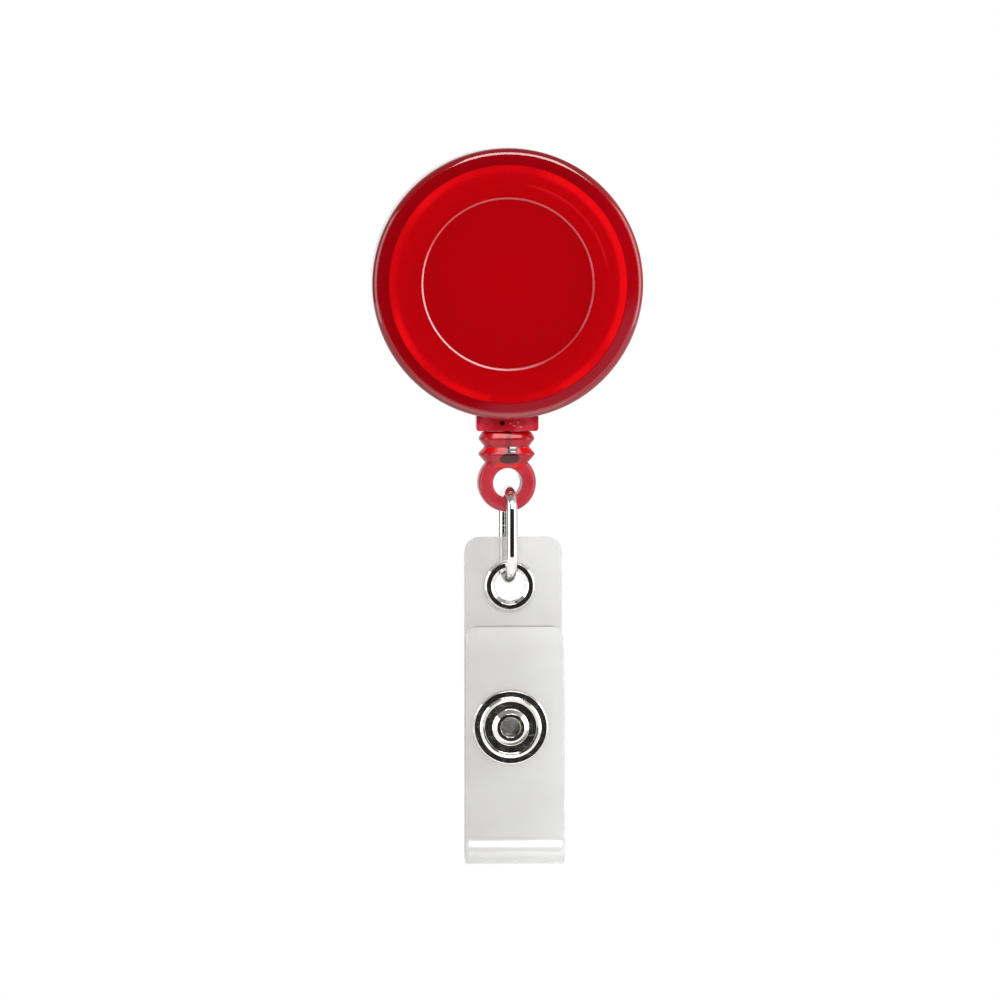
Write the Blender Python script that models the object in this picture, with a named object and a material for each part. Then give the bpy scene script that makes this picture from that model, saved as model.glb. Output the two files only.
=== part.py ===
"""Retractable badge reel, modelled hanging from its belt clip.

Metres, +Z up, front face towards -Y. The origin is the inside top of the belt clip's bend, where the edge
of a belt bears. Every piece is built in the reel's own frame, whose origin is on the spool's axis in the
plane of the cord, and hangs from empties that stand on the joint axes.
"""

import math

import bmesh
import bpy
from mathutils import Matrix, Vector

MM = 0.001

# ---------------------------------------------------------------- driving dimensions
CASE_RADIUS = 16.0 * MM
CASE_DEPTH = 8.6 * MM
CASE_ROUND = 0.9 * MM  # round between face and side wall
WALL = 1.2 * MM
CORD_RADIUS = 0.4 * MM
CLEARANCE = 0.3 * MM  # between pieces that touch or turn
FIT = 0.15 * MM  # between clenched sheet-metal pieces
TILT = math.radians(7.0)  # the end fitting and the link hang turned this far
STRAP_WIDTH = 11.6 * MM
STRAP_SHEET = 0.6 * MM
CLIP_THROAT = 3.6 * MM
CLIP_SHEET = 0.7 * MM

# ---------------------------------------------------------------- case, along the spool's axis
HALF_DEPTH = CASE_DEPTH / 2
INNER_HALF = HALF_DEPTH - WALL
LABEL_RADIUS = 10.1 * MM
LABEL_RECESS = 0.3 * MM
CAVITY_RADIUS = 14.1 * MM
CAVITY_CHAMFER = 1.0 * MM
LIP_RADIUS = 14.8 * MM
LIP_LENGTH = 1.0 * MM
POST_RADIUS = 2.0 * MM
POST_BORE = 1.25 * MM
PIN_RADIUS = 0.95 * MM
POST_TIP = -2.85 * MM
SLOT_WIDTH = 0.6 * MM

# ---------------------------------------------------------------- cord outlet under the case
OUTLET_HALF_WIDTH = 3.68 * MM
OUTLET_HALF_DEPTH = 2.4 * MM
OUTLET_BOTTOM = -17.45 * MM
OUTLET_TOP = -14.9 * MM
OUTLET_BORE = 0.65 * MM
OUTLET_FLARE = 2.7 * MM

# ---------------------------------------------------------------- spool and power spring
FLANGE_RADIUS = 13.3 * MM
FLANGE_SHEET = 0.8 * MM
SPOOL_HALF = 2.6 * MM
DRUM_RADIUS = 10.1 * MM
DRUM_INNER = 9.2 * MM
SPOOL_BORE = POST_RADIUS + CLEARANCE
WINDING_INNER = 10.35 * MM
WINDING_OUTER = 12.65 * MM
WINDING_HALF = 1.6 * MM
ANCHOR_RADIUS = 11.5 * MM
ANCHOR_HOLE = 0.95 * MM
SPRING_SHEET = 0.2 * MM
SPRING_TURNS = 10
SPRING_INNER = 2.45 * MM
SPRING_OUTER = 8.85 * MM
SPRING_FRONT = -1.4 * MM
SPRING_BACK = 2.2 * MM

# ---------------------------------------------------------------- end fitting
FITTING_TOP = OUTLET_BOTTOM - CLEARANCE
EYE_HEIGHT = -23.7 * MM
EYE_RADIUS = 3.46 * MM
EYE_HOLE = 1.75 * MM
EYE_HALF_DEPTH = 1.2 * MM
NECK_BOTTOM = -21.6 * MM
KNOT_HEIGHT = -20.72 * MM

# ---------------------------------------------------------------- wire link
WIRE_RADIUS = 0.65 * MM
LINK_BEND = 2.8 * MM
LINK_TOP = -27.44 * MM  # centre of the upper bend
LINK_BOTTOM = -32.22 * MM  # centre of the lower bend
LINK_X = 0.2 * MM

# ---------------------------------------------------------------- strap and its hardware
STRAP_X = 0.78 * MM
STRAP_TOP = -30.17 * MM
FLAP_TOP = -40.74 * MM
FOLD_RADIUS = 1.4 * MM
FOLD_HEIGHT = -67.48 * MM  # centre of the fold's bend
FLAP_Y = -2 * FOLD_RADIUS
FLAP_START = 0.4 * MM  # the flap begins this far above its hinge
EYELET_X = 0.38 * MM
EYELET_HEIGHT = -35.99 * MM
EYELET_BORE = 1.8 * MM
SNAP_X = 0.35 * MM
SNAP_HEIGHT = -52.6 * MM
SNAP_HOLE = 1.6 * MM

# ---------------------------------------------------------------- belt clip
CLIP_WIDTH = 12.4 * MM
CLIP_SHOULDER = 11.0 * MM  # height of the bend's straight ends above the spool's axis
CLIP_FOOT = -9.5 * MM
CLIP_BEND = (CLIP_THROAT + CLIP_SHEET) / 2
CLIP_BASE_Y = HALF_DEPTH + CLEARANCE + CLIP_SHEET / 2
CLIP_TONGUE_Y = CLIP_BASE_Y + 2 * CLIP_BEND
RIVET_HOLE = PIN_RADIUS + CLEARANCE

# The reel's own origin, seen from the clip's bend
REEL_ORIGIN = Vector((0, -(CLIP_BASE_Y + CLIP_BEND), -(CLIP_SHOULDER + CLIP_THROAT / 2)))

STEPS_CASE = 56
STEPS_SPOOL = 48
STEPS_SMALL = 26
MERGE = 1e-7
SHARP = math.radians(32)

# colour, roughness, metallic
FINISHES = {
    "case_red": ((0.56, 0.002, 0.006), 0.12, 0.0),
    "fitting_red": ((0.50, 0.02, 0.03), 0.22, 0.0),
    "spool_red": ((0.42, 0.004, 0.008), 0.35, 0.0),
    "spring_steel": ((0.34, 0.35, 0.38), 0.30, 1.0),
    "cord": ((0.020, 0.018, 0.018), 0.75, 0.0),
    "nickel": ((0.78, 0.75, 0.70), 0.12, 1.0),
    "clip_nickel": ((0.70, 0.69, 0.67), 0.20, 1.0),
    "strap_pvc": ((0.72, 0.72, 0.72), 0.45, 0.0),
}


# ---------------------------------------------------------------- scene and materials
def clear_scene():
    for old in list(bpy.data.objects):
        bpy.data.objects.remove(old, do_unlink=True)


def make_material(name, finish):
    colour, roughness, metallic = FINISHES[finish]
    material = bpy.data.materials.new(name)
    material.use_nodes = True
    shader = material.node_tree.nodes["Principled BSDF"]
    shader.inputs["Base Color"].default_value = (*colour, 1)
    shader.inputs["Roughness"].default_value = roughness
    shader.inputs["Metallic"].default_value = metallic
    material.diffuse_color = (*colour, 1)
    return material


def pivot(name, place, turn=0.0):
    """An empty on a joint's axis, placed in the reel's own frame."""
    empty = bpy.data.objects.new(name, None)
    empty.location = REEL_ORIGIN + Vector(place)
    empty.rotation_euler = (0, 0, turn)
    empty.empty_display_size = 2 * MM
    bpy.context.collection.objects.link(empty)
    empty["place"] = list(place)
    return empty


def piece(name, bm, finish, parent, place=(0, 0, 0)):
    """Turn a bmesh, built around place in the reel's frame, into a named piece under its pivot."""
    mesh = bpy.data.meshes.new(name)
    bm.to_mesh(mesh)
    bm.free()
    mesh.shade_smooth()
    mesh.set_sharp_from_angle(angle=SHARP)
    mesh.materials.append(make_material(name, finish))
    body = bpy.data.objects.new(name, mesh)
    body.parent = parent
    offset = Vector(place) - Vector(parent["place"])
    body.location = Matrix.Rotation(-parent.rotation_euler.z, 3, "Z") @ offset
    bpy.context.collection.objects.link(body)
    return body


def shape(body, bm, operation, place=(0, 0, 0)):
    """Cut a bmesh from a piece, join it on, or keep only what is inside it."""
    mesh = bpy.data.meshes.new(body.name + "_tool")
    bm.to_mesh(mesh)
    bm.free()
    tool = bpy.data.objects.new(mesh.name, mesh)
    tool.parent = body.parent
    offset = Vector(place) - Vector(body.parent["place"])
    tool.location = Matrix.Rotation(-body.parent.rotation_euler.z, 3, "Z") @ offset
    tool.hide_render = True
    tool.display_type = "WIRE"
    bpy.context.collection.objects.link(tool)
    boolean = body.modifiers.new(operation.title(), "BOOLEAN")
    boolean.operation = operation
    boolean.object = tool


# ---------------------------------------------------------------- outlines
def arc(centre, radius, start, end, steps):
    """Points of an arc, with its angles in degrees."""
    angles = [math.radians(start + (end - start) * i / steps) for i in range(steps + 1)]
    return [(centre[0] + radius * math.cos(a), centre[1] + radius * math.sin(a)) for a in angles]


def rounded_box(low, high, low_radius, high_radius, steps=5):
    """A rectangle's outline, with one corner radius at its low side and one at its high side."""
    low_radius = max(low_radius, 0.01 * MM)
    high_radius = max(high_radius, 0.01 * MM)
    corners = [
        ((low[0] + low_radius, low[1] + low_radius), low_radius, 180),
        ((high[0] - low_radius, low[1] + low_radius), low_radius, 270),
        ((high[0] - high_radius, high[1] - high_radius), high_radius, 0),
        ((low[0] + high_radius, high[1] - high_radius), high_radius, 90),
    ]
    outline = []
    for centre, radius, start in corners:
        outline += arc(centre, radius, start, start + 90, steps)
    return outline


def smooth_route(points, steps):
    """Points read from a Catmull-Rom curve through the given ones."""
    route = [Vector(p) for p in points]
    ends = [route[0] * 2 - route[1], *route, route[-1] * 2 - route[-2]]
    smooth = []
    for before, start, end, after in zip(ends, ends[1:], ends[2:], ends[3:]):
        for i in range(steps):
            t = i / steps
            bend = 2 * before - 5 * start + 4 * end - after
            twist = 3 * (start - end) + after - before
            smooth.append((2 * start + (end - before) * t + bend * t**2 + twist * t**3) / 2)
    return smooth + [route[-1]]


# ---------------------------------------------------------------- solids
def skin(loops, closed=False):
    """Bridge loops of points into one body; an open row of loops gets flat ends."""
    bm = bmesh.new()
    rings = [[bm.verts.new(point) for point in loop] for loop in loops]
    pairs = list(zip(rings, rings[1:]))
    if closed:
        pairs.append((rings[-1], rings[0]))
    for ring, after in pairs:
        for k in range(len(ring)):
            n = (k + 1) % len(ring)
            bm.faces.new((ring[k], ring[n], after[n], after[k]))
    if not closed:
        bm.faces.new(rings[0][::-1])
        bm.faces.new(rings[-1])
    bmesh.ops.recalc_face_normals(bm, faces=bm.faces)
    return bm


def turned(outline, steps):
    """Spin an outline of (radius, y) points round the Y axis. A solid core starts and ends on the axis."""
    bm = bmesh.new()
    verts = [bm.verts.new((radius, y, 0)) for radius, y in outline]
    solid_core = outline[0][0] == 0 and outline[-1][0] == 0
    following = verts[1:] if solid_core else verts[1:] + verts[:1]
    edges = [bm.edges.new(pair) for pair in zip(verts, following)]
    bmesh.ops.spin(
        bm,
        geom=verts + edges,
        cent=(0, 0, 0),
        axis=(0, 1, 0),
        angle=2 * math.pi,
        steps=steps,
        use_merge=True,
    )
    bmesh.ops.remove_doubles(bm, verts=bm.verts, dist=MERGE)
    bmesh.ops.recalc_face_normals(bm, faces=bm.faces)
    return bm


def prism(outline, front, back):
    """Extrude an outline of (x, z) points from front to back."""
    return skin([[(x, y, z) for x, z in outline] for y in (front, back)])


def box(low, high):
    return prism([(low[0], low[2]), (high[0], low[2]), (high[0], high[2]), (low[0], high[2])], low[1], high[1])


def bent_strip(route, sheet, low, high, across):
    """A strip of sheet metal or plastic that follows a route of (a, b) points, from low to high across it."""
    loops = []
    for i, point in enumerate(route):
        before = route[max(i - 1, 0)]
        after = route[min(i + 1, len(route) - 1)]
        along = (Vector(after) - Vector(before)).normalized()
        aside = Vector((-along.y, along.x)) * sheet / 2
        inner = Vector(point) + aside
        outer = Vector(point) - aside
        loops.append([across(inner, low), across(inner, high), across(outer, high), across(outer, low)])
    return skin(loops)


def across_x(point, width):
    """A route in the YZ plane, with its width along X."""
    return (width, point[0], point[1])


def across_y(point, width):
    """A route in the XZ plane, with its width along Y."""
    return (point[0], width, point[1])


def tube(route, radius, sides):
    """A round bar along a route in a plane of constant Y."""
    loops = []
    for i, point in enumerate(route):
        along = (route[min(i + 1, len(route) - 1)] - route[max(i - 1, 0)]).normalized()
        aside = Vector((0, 1, 0))
        third = along.cross(aside)
        angles = [2 * math.pi * k / sides for k in range(sides)]
        loops.append([point + radius * (math.cos(a) * aside + math.sin(a) * third) for a in angles])
    return skin(loops)


def ball(radii, place):
    """An ellipsoid around a place."""
    bm = bmesh.new()
    size = Matrix.Translation(place) @ Matrix.Diagonal((*radii, 1))
    bmesh.ops.create_uvsphere(bm, u_segments=16, v_segments=10, radius=1, matrix=size)
    return bm


def rod_down(radii_heights, steps):
    """A round bar along Z through (radius, height) pairs."""
    angles = [2 * math.pi * k / steps for k in range(steps)]
    return skin([[(r * math.cos(a), r * math.sin(a), z) for a in angles] for r, z in radii_heights])


# ---------------------------------------------------------------- case
def case_side(front):
    """The outer side of a cover from its face to its parting edge, as (radius, y) for the front cover."""
    return arc((CASE_RADIUS - CASE_ROUND, front + CASE_ROUND), CASE_ROUND, 270, 360, 5)


def outlet_half(front, back):
    """One half of the block under the case that the cord leaves through."""
    low = (-OUTLET_HALF_WIDTH, OUTLET_BOTTOM)
    high = (OUTLET_HALF_WIDTH, OUTLET_TOP)
    return prism(rounded_box(low, high, 0.35 * MM, 0, steps=3), front, back)


def outlet_bore():
    """The cord's hole through the outlet, flared where the cord comes in."""
    return rod_down(
        [
            (OUTLET_BORE, OUTLET_BOTTOM - 1 * MM),
            (OUTLET_BORE, -15.6 * MM),
            (1.3 * MM, -14.9 * MM),
            (OUTLET_FLARE, -13.7 * MM),
        ],
        16,
    )


def front_cover(parent):
    front = -HALF_DEPTH
    parting = -CLEARANCE / 2
    rabbet = parting - LIP_LENGTH
    outline = [
        (0, front + LABEL_RECESS),
        (LABEL_RADIUS - 0.1 * MM, front + LABEL_RECESS),
        (LABEL_RADIUS + 0.1 * MM, front),
        *case_side(front),
        (CASE_RADIUS, parting),
        (LIP_RADIUS + CLEARANCE, parting),
        (LIP_RADIUS + CLEARANCE, rabbet),
        (CAVITY_RADIUS, rabbet),
        (CAVITY_RADIUS, -INNER_HALF + CAVITY_CHAMFER),
        (CAVITY_RADIUS - CAVITY_CHAMFER, -INNER_HALF),
        (PIN_RADIUS, -INNER_HALF),
        (PIN_RADIUS, -1.2 * MM),
        (0, -1.2 * MM),
    ]
    cover = piece("front_cover", turned(outline, STEPS_CASE), "case_red", parent)
    shape(cover, outlet_half(-OUTLET_HALF_DEPTH, parting), "UNION")
    shape(cover, outlet_bore(), "DIFFERENCE")


def rear_cover(parent):
    parting = CLEARANCE / 2
    side = [(radius, -y) for radius, y in reversed(case_side(-HALF_DEPTH))]
    outline = [
        (POST_BORE, HALF_DEPTH),
        *reversed(side),
        (CASE_RADIUS, parting),
        (LIP_RADIUS, parting),
        (LIP_RADIUS, parting - LIP_LENGTH + 0.15 * MM),
        (CAVITY_RADIUS, parting - LIP_LENGTH + 0.15 * MM),
        (CAVITY_RADIUS, INNER_HALF - CAVITY_CHAMFER),
        (CAVITY_RADIUS - CAVITY_CHAMFER, INNER_HALF),
        (POST_RADIUS, INNER_HALF),
        (POST_RADIUS, POST_TIP),
        (POST_BORE, POST_TIP),
    ]
    cover = piece("rear_cover", turned(outline, STEPS_CASE), "case_red", parent)
    shape(cover, outlet_half(parting, OUTLET_HALF_DEPTH), "UNION")
    shape(cover, outlet_bore(), "DIFFERENCE")
    spring_slot = box((0.5 * MM, -4 * MM, -SLOT_WIDTH / 2), (3 * MM, 2.6 * MM, SLOT_WIDTH / 2))
    shape(cover, spring_slot, "DIFFERENCE")


# ---------------------------------------------------------------- spool and what turns with it
def spool(parent):
    web = -SPOOL_HALF + FLANGE_SHEET
    outline = [
        (SPOOL_BORE, -SPOOL_HALF),
        (FLANGE_RADIUS, -SPOOL_HALF),
        (FLANGE_RADIUS, web),
        (DRUM_RADIUS, web),
        (DRUM_RADIUS, -web),
        (FLANGE_RADIUS, -web),
        (FLANGE_RADIUS, SPOOL_HALF),
        (DRUM_INNER, SPOOL_HALF),
        (DRUM_INNER, web),
        (SPOOL_BORE, web),
    ]
    drum = piece("spool", turned(outline, STEPS_SPOOL), "spool_red", parent)
    hook_low = (DRUM_INNER - 0.6 * MM, SPRING_FRONT - CLEARANCE, -SLOT_WIDTH / 2)
    hook_high = (DRUM_RADIUS + 0.15 * MM, SPRING_BACK + 1 * MM, SLOT_WIDTH / 2)
    shape(drum, box(hook_low, hook_high), "DIFFERENCE")
    hole = turned([(0, -1 * MM), (ANCHOR_HOLE, -1 * MM), (ANCHOR_HOLE, 1 * MM), (0, 1 * MM)], 16)
    shape(drum, hole, "DIFFERENCE", (0, -SPOOL_HALF + FLANGE_SHEET / 2, ANCHOR_RADIUS))


def power_spring(parent):
    """A flat spiral: its inner end is hooked in the post's slot, its outer end in the drum's."""
    count = SPRING_TURNS * 22
    route = [(SPRING_INNER - 0.95 * MM, 0)]
    for i in range(count + 1):
        part = i / count
        radius = SPRING_INNER + (SPRING_OUTER - SPRING_INNER) * part**0.8
        angle = 2 * math.pi * SPRING_TURNS * part
        route.append((radius * math.cos(angle), radius * math.sin(angle)))
    route.append((SPRING_OUTER + 0.95 * MM, 0))
    strip = bent_strip(route, SPRING_SHEET, SPRING_FRONT, SPRING_BACK, across_y)
    piece("power_spring", strip, "spring_steel", parent)


def cord_winding(parent):
    low = (WINDING_INNER, -WINDING_HALF)
    high = (WINDING_OUTER, WINDING_HALF)
    outline = rounded_box(low, high, CORD_RADIUS, CORD_RADIUS, steps=2)
    piece("cord_winding", turned(outline, STEPS_SPOOL), "cord", parent)


def cord_anchor_knot(parent):
    middle = -SPOOL_HALF + FLANGE_SHEET / 2
    knot = ball((0.65 * MM, 0.36 * MM, 0.65 * MM), (0, middle, ANCHOR_RADIUS))
    piece("cord_anchor_knot", knot, "cord", parent)


# ---------------------------------------------------------------- cord outside the winding
def cord_feed(parent):
    """The stretch from the winding into the outlet, which keeps its place while cord runs through it."""
    route = [
        (5.60 * MM, 0, -11.85 * MM),
        (4.00 * MM, 0, -12.68 * MM),
        (2.40 * MM, 0, -13.38 * MM),
        (1.00 * MM, 0, -14.02 * MM),
        (0.25 * MM, 0, -14.68 * MM),
        (0, 0, -15.30 * MM),
        (0, 0, -15.80 * MM),
    ]
    piece("cord_feed", tube(smooth_route(route, 3), CORD_RADIUS, 8), "cord", parent)


def cord_lead(parent):
    ends = [Vector((0, 0, -16.1 * MM)), Vector((0, 0, KNOT_HEIGHT + 0.75 * MM))]
    piece("cord_lead", tube(ends, CORD_RADIUS, 10), "cord", parent)


def cord_end_knot(parent):
    knot = ball((1.15 * MM, 0.75 * MM, 0.5 * MM), (0.15 * MM, 0.1 * MM, KNOT_HEIGHT))
    piece("cord_end_knot", knot, "cord", parent)


# ---------------------------------------------------------------- end fitting and link
def end_fitting(parent):
    """A ribbed neck over a flat eye, with a pocket for the cord's knot that is open at the back."""
    ribs = [
        (2.60 * MM, FITTING_TOP),
        (3.22 * MM, -18.25 * MM),
        (3.28 * MM, -18.55 * MM),
        (2.70 * MM, -19.45 * MM),
        (3.22 * MM, -20.10 * MM),
        (3.29 * MM, -20.40 * MM),
        (2.39 * MM, -21.28 * MM),
        (2.20 * MM, NECK_BOTTOM),
    ]
    angles = [2 * math.pi * k / 24 for k in range(24)]
    flatness = 0.62
    neck = skin([[(w * math.cos(a), w * flatness * math.sin(a), z) for a in angles] for w, z in ribs])
    fitting = piece("end_fitting", neck, "fitting_red", parent)
    low = (EYE_HOLE, -EYE_HALF_DEPTH)
    high = (EYE_RADIUS, EYE_HALF_DEPTH)
    section = rounded_box(low, high, 0.7 * MM, 0.7 * MM, steps=3)
    shape(fitting, turned(section, 36), "UNION", (0, 0, EYE_HEIGHT))
    pocket = box((-1.45 * MM, -1.0 * MM, -21.35 * MM), (1.45 * MM, 4 * MM, -19.3 * MM))
    shape(fitting, pocket, "DIFFERENCE")
    window = box((-0.15 * MM, -4 * MM, -20.05 * MM), (0.95 * MM, 0, -19.4 * MM))
    shape(fitting, window, "DIFFERENCE")
    bore = rod_down([(OUTLET_BORE, -20 * MM), (OUTLET_BORE, FITTING_TOP + 1 * MM)], 16)
    shape(fitting, bore, "DIFFERENCE")


def wire_link(parent):
    """An oval ring of round wire, standing in the YZ plane."""
    loops = []
    for height, start in ((LINK_TOP, 0), (LINK_BOTTOM, 180)):
        for i in range(13):
            turn = math.radians(start + 15 * i)
            outward = Vector((0, math.cos(turn), math.sin(turn)))
            centre = Vector((0, 0, height)) + LINK_BEND * outward
            loop = []
            for k in range(12):
                a = 2 * math.pi * k / 12
                loop.append(centre + WIRE_RADIUS * (math.cos(a) * outward + math.sin(a) * Vector((1, 0, 0))))
            loops.append(loop)
    piece("wire_link", skin(loops, closed=True), "nickel", parent, (LINK_X, 0, 0))


# ---------------------------------------------------------------- strap
def bore_through(body, radius, place):
    """Drill a hole along Y."""
    reach = 2 * MM
    drill = turned([(0, -reach), (radius, -reach), (radius, reach), (0, reach)], STEPS_SMALL)
    shape(body, drill, "DIFFERENCE", place)


def strap_back(parent):
    """The back layer, hanging straight down to the fold that turns it up again at the front."""
    bend = arc((-FOLD_RADIUS, FOLD_HEIGHT), FOLD_RADIUS, 0, -180, 9)
    strip = bent_strip(
        [(0, STRAP_TOP), *bend], STRAP_SHEET, STRAP_X - STRAP_WIDTH / 2, STRAP_X + STRAP_WIDTH / 2, across_x
    )
    back = piece("strap_back", strip, "strap_pvc", parent)
    low = (STRAP_X - STRAP_WIDTH, FOLD_HEIGHT - 4 * MM)
    high = (STRAP_X + STRAP_WIDTH, STRAP_TOP + 0.1 * MM)
    outline = [
        low,
        (high[0], low[1]),
        (high[0], EYELET_HEIGHT),
        *arc((STRAP_X + STRAP_WIDTH / 2 - 1.8 * MM, STRAP_TOP - 1.8 * MM), 1.8 * MM, 0, 90, 6),
        *arc((STRAP_X - STRAP_WIDTH / 2 + 1.8 * MM, STRAP_TOP - 1.8 * MM), 1.8 * MM, 90, 180, 6),
        (low[0], EYELET_HEIGHT),
    ]
    shape(back, prism(outline, -5 * MM, 2 * MM), "INTERSECT")
    bore_through(back, EYELET_BORE + 0.25 * MM + CLEARANCE, (EYELET_X, 0, EYELET_HEIGHT))
    bore_through(back, SNAP_HOLE, (SNAP_X, 0, SNAP_HEIGHT))


def strap_flap(parent):
    """The front layer, from just above the fold to its rounded end."""
    low = (STRAP_X - STRAP_WIDTH / 2, FOLD_HEIGHT + FLAP_START)
    high = (STRAP_X + STRAP_WIDTH / 2, FLAP_TOP)
    outline = rounded_box(low, high, 0, 1.6 * MM)
    plate = prism(outline, FLAP_Y - STRAP_SHEET / 2, FLAP_Y + STRAP_SHEET / 2)
    flap = piece("strap_flap", plate, "strap_pvc", parent)
    bore_through(flap, SNAP_HOLE, (SNAP_X, FLAP_Y, SNAP_HEIGHT))


def eyelet(parent):
    """A rolled eyelet: its dome lies on the strap's front and its barrel is rolled over the washer."""
    face = -STRAP_SHEET / 2 - FIT
    tail = STRAP_SHEET / 2 + 0.62 * MM
    outline = [
        (EYELET_BORE + 0.12 * MM, tail),
        (EYELET_BORE, tail - 0.2 * MM),
        (EYELET_BORE, face),
        (1.95 * MM, face - 0.35 * MM),
        (2.35 * MM, face - 0.48 * MM),
        (2.80 * MM, face - 0.35 * MM),
        (3.05 * MM, face),
        (EYELET_BORE + 0.25 * MM, face),
        (EYELET_BORE + 0.25 * MM, tail - 0.17 * MM),
        (2.75 * MM, tail - 0.17 * MM),
        (2.45 * MM, tail),
    ]
    piece("eyelet", turned(outline, STEPS_SMALL), "nickel", parent, (EYELET_X, 0, EYELET_HEIGHT))


def eyelet_washer(parent):
    face = STRAP_SHEET / 2 + FIT
    outline = [
        (2.2 * MM, face),
        (3.15 * MM, face),
        (3.0 * MM, face + 0.2 * MM),
        (2.2 * MM, face + 0.2 * MM),
    ]
    piece("eyelet_washer", turned(outline, STEPS_SMALL), "nickel", parent, (EYELET_X, 0, EYELET_HEIGHT))


# ---------------------------------------------------------------- press snap
def snap_cap(parent):
    """The visible ring: two raised rings round a hollow barrel that goes through the flap."""
    face = -STRAP_SHEET / 2 - FIT
    outline = [
        (1.0 * MM, 0.9 * MM),
        (1.0 * MM, face - 0.5 * MM),
        (1.3 * MM, face - 0.85 * MM),
        (1.7 * MM, face - 0.95 * MM),
        (2.2 * MM, face - 0.7 * MM),
        (2.5 * MM, face - 0.35 * MM),
        (3.0 * MM, face - 0.35 * MM),
        (3.4 * MM, face - 0.8 * MM),
        (3.8 * MM, face - 0.8 * MM),
        (4.3 * MM, face - 0.35 * MM),
        (4.5 * MM, face),
        (1.3 * MM, face),
        (1.3 * MM, 0.9 * MM),
    ]
    piece("snap_cap", turned(outline, STEPS_SMALL + 6), "nickel", parent, (SNAP_X, FLAP_Y, SNAP_HEIGHT))


def snap_socket(parent):
    """The cup on the flap's inner side that the stud's head is pressed into."""
    face = STRAP_SHEET / 2 + FIT
    outline = [
        (1.45 * MM, face),
        (4.0 * MM, face),
        (4.0 * MM, face + 0.35 * MM),
        (3.0 * MM, face + 0.35 * MM),
        (2.7 * MM, face + 1.3 * MM),
        (1.95 * MM, face + 1.3 * MM),
        (1.95 * MM, face + 1.0 * MM),
        (2.45 * MM, face + 1.0 * MM),
        (2.45 * MM, face + 0.35 * MM),
        (1.45 * MM, face + 0.35 * MM),
    ]
    piece("snap_socket", turned(outline, STEPS_SMALL), "nickel", parent, (SNAP_X, FLAP_Y, SNAP_HEIGHT))


def snap_socket_spring(parent):
    """A split ring of wire that lies in the socket's groove and grips the stud."""
    height = STRAP_SHEET / 2 + FIT + 0.68 * MM
    loops = []
    for i in range(25):
        turn = math.radians(20 + 320 * i / 24)
        outward = Vector((math.cos(turn), 0, math.sin(turn)))
        centre = 2.05 * MM * outward + Vector((0, height, 0))
        ring = []
        for k in range(6):
            a = math.pi * k / 3
            ring.append(centre + 0.18 * MM * (math.cos(a) * outward + math.sin(a) * Vector((0, 1, 0))))
        loops.append(ring)
    piece("snap_socket_spring", skin(loops), "spring_steel", parent, (SNAP_X, FLAP_Y, SNAP_HEIGHT))


def snap_stud(parent):
    """The stud on the back layer, whose hollow head goes into the socket."""
    face = -STRAP_SHEET / 2 - FIT
    outline = [
        (0.9 * MM, face),
        (3.6 * MM, face),
        (3.6 * MM, face - 0.3 * MM),
        (1.5 * MM, face - 0.3 * MM),
        (1.35 * MM, face - 0.55 * MM),
        (1.6 * MM, face - 0.85 * MM),
        (1.4 * MM, face - 1.15 * MM),
        (0.9 * MM, face - 1.15 * MM),
    ]
    piece("snap_stud", turned(outline, STEPS_SMALL), "nickel", parent, (SNAP_X, 0, SNAP_HEIGHT))


def snap_post(parent):
    """The domed disc behind the back layer, whose hollow shank is clenched inside the stud."""
    face = STRAP_SHEET / 2 + FIT
    shank_end = -STRAP_SHEET / 2 - FIT - 1.0 * MM
    outline = [
        (0.35 * MM, shank_end),
        (0.65 * MM, shank_end),
        (0.65 * MM, face),
        (4.2 * MM, face),
        (4.1 * MM, face + 0.25 * MM),
        (3.2 * MM, face + 0.5 * MM),
        (1.2 * MM, face + 0.55 * MM),
        (0.8 * MM, face + 0.2 * MM),
        (0.35 * MM, face + 0.1 * MM),
    ]
    piece("snap_post", turned(outline, STEPS_SMALL), "nickel", parent, (SNAP_X, 0, SNAP_HEIGHT))


# ---------------------------------------------------------------- belt clip
def clip_blank(foot, top, foot_radius):
    """The flat outline that a leg of the clip is cut to."""
    low = (-CLIP_WIDTH / 2, foot)
    high = (CLIP_WIDTH / 2, top)
    return rounded_box(low, high, foot_radius, 0, steps=6)


def belt_clip(parent):
    """The leg that is riveted to the rear cover, and the bend at its top."""
    bend = arc((CLIP_BASE_Y + CLIP_BEND, CLIP_SHOULDER), CLIP_BEND, 180, 0, 12)
    half = CLIP_WIDTH / 2
    strip = bent_strip([(CLIP_BASE_Y, CLIP_FOOT), *bend], CLIP_SHEET, -half - MM, half + MM, across_x)
    clip = piece("belt_clip", strip, "clip_nickel", parent)
    top = CLIP_SHOULDER + 2 * CLIP_BEND
    shape(clip, prism(clip_blank(CLIP_FOOT + 0.1 * MM, top, 3 * MM), 0, 20 * MM), "INTERSECT")
    bore_through(clip, RIVET_HOLE, (0, CLIP_BASE_Y, 0))


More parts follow.
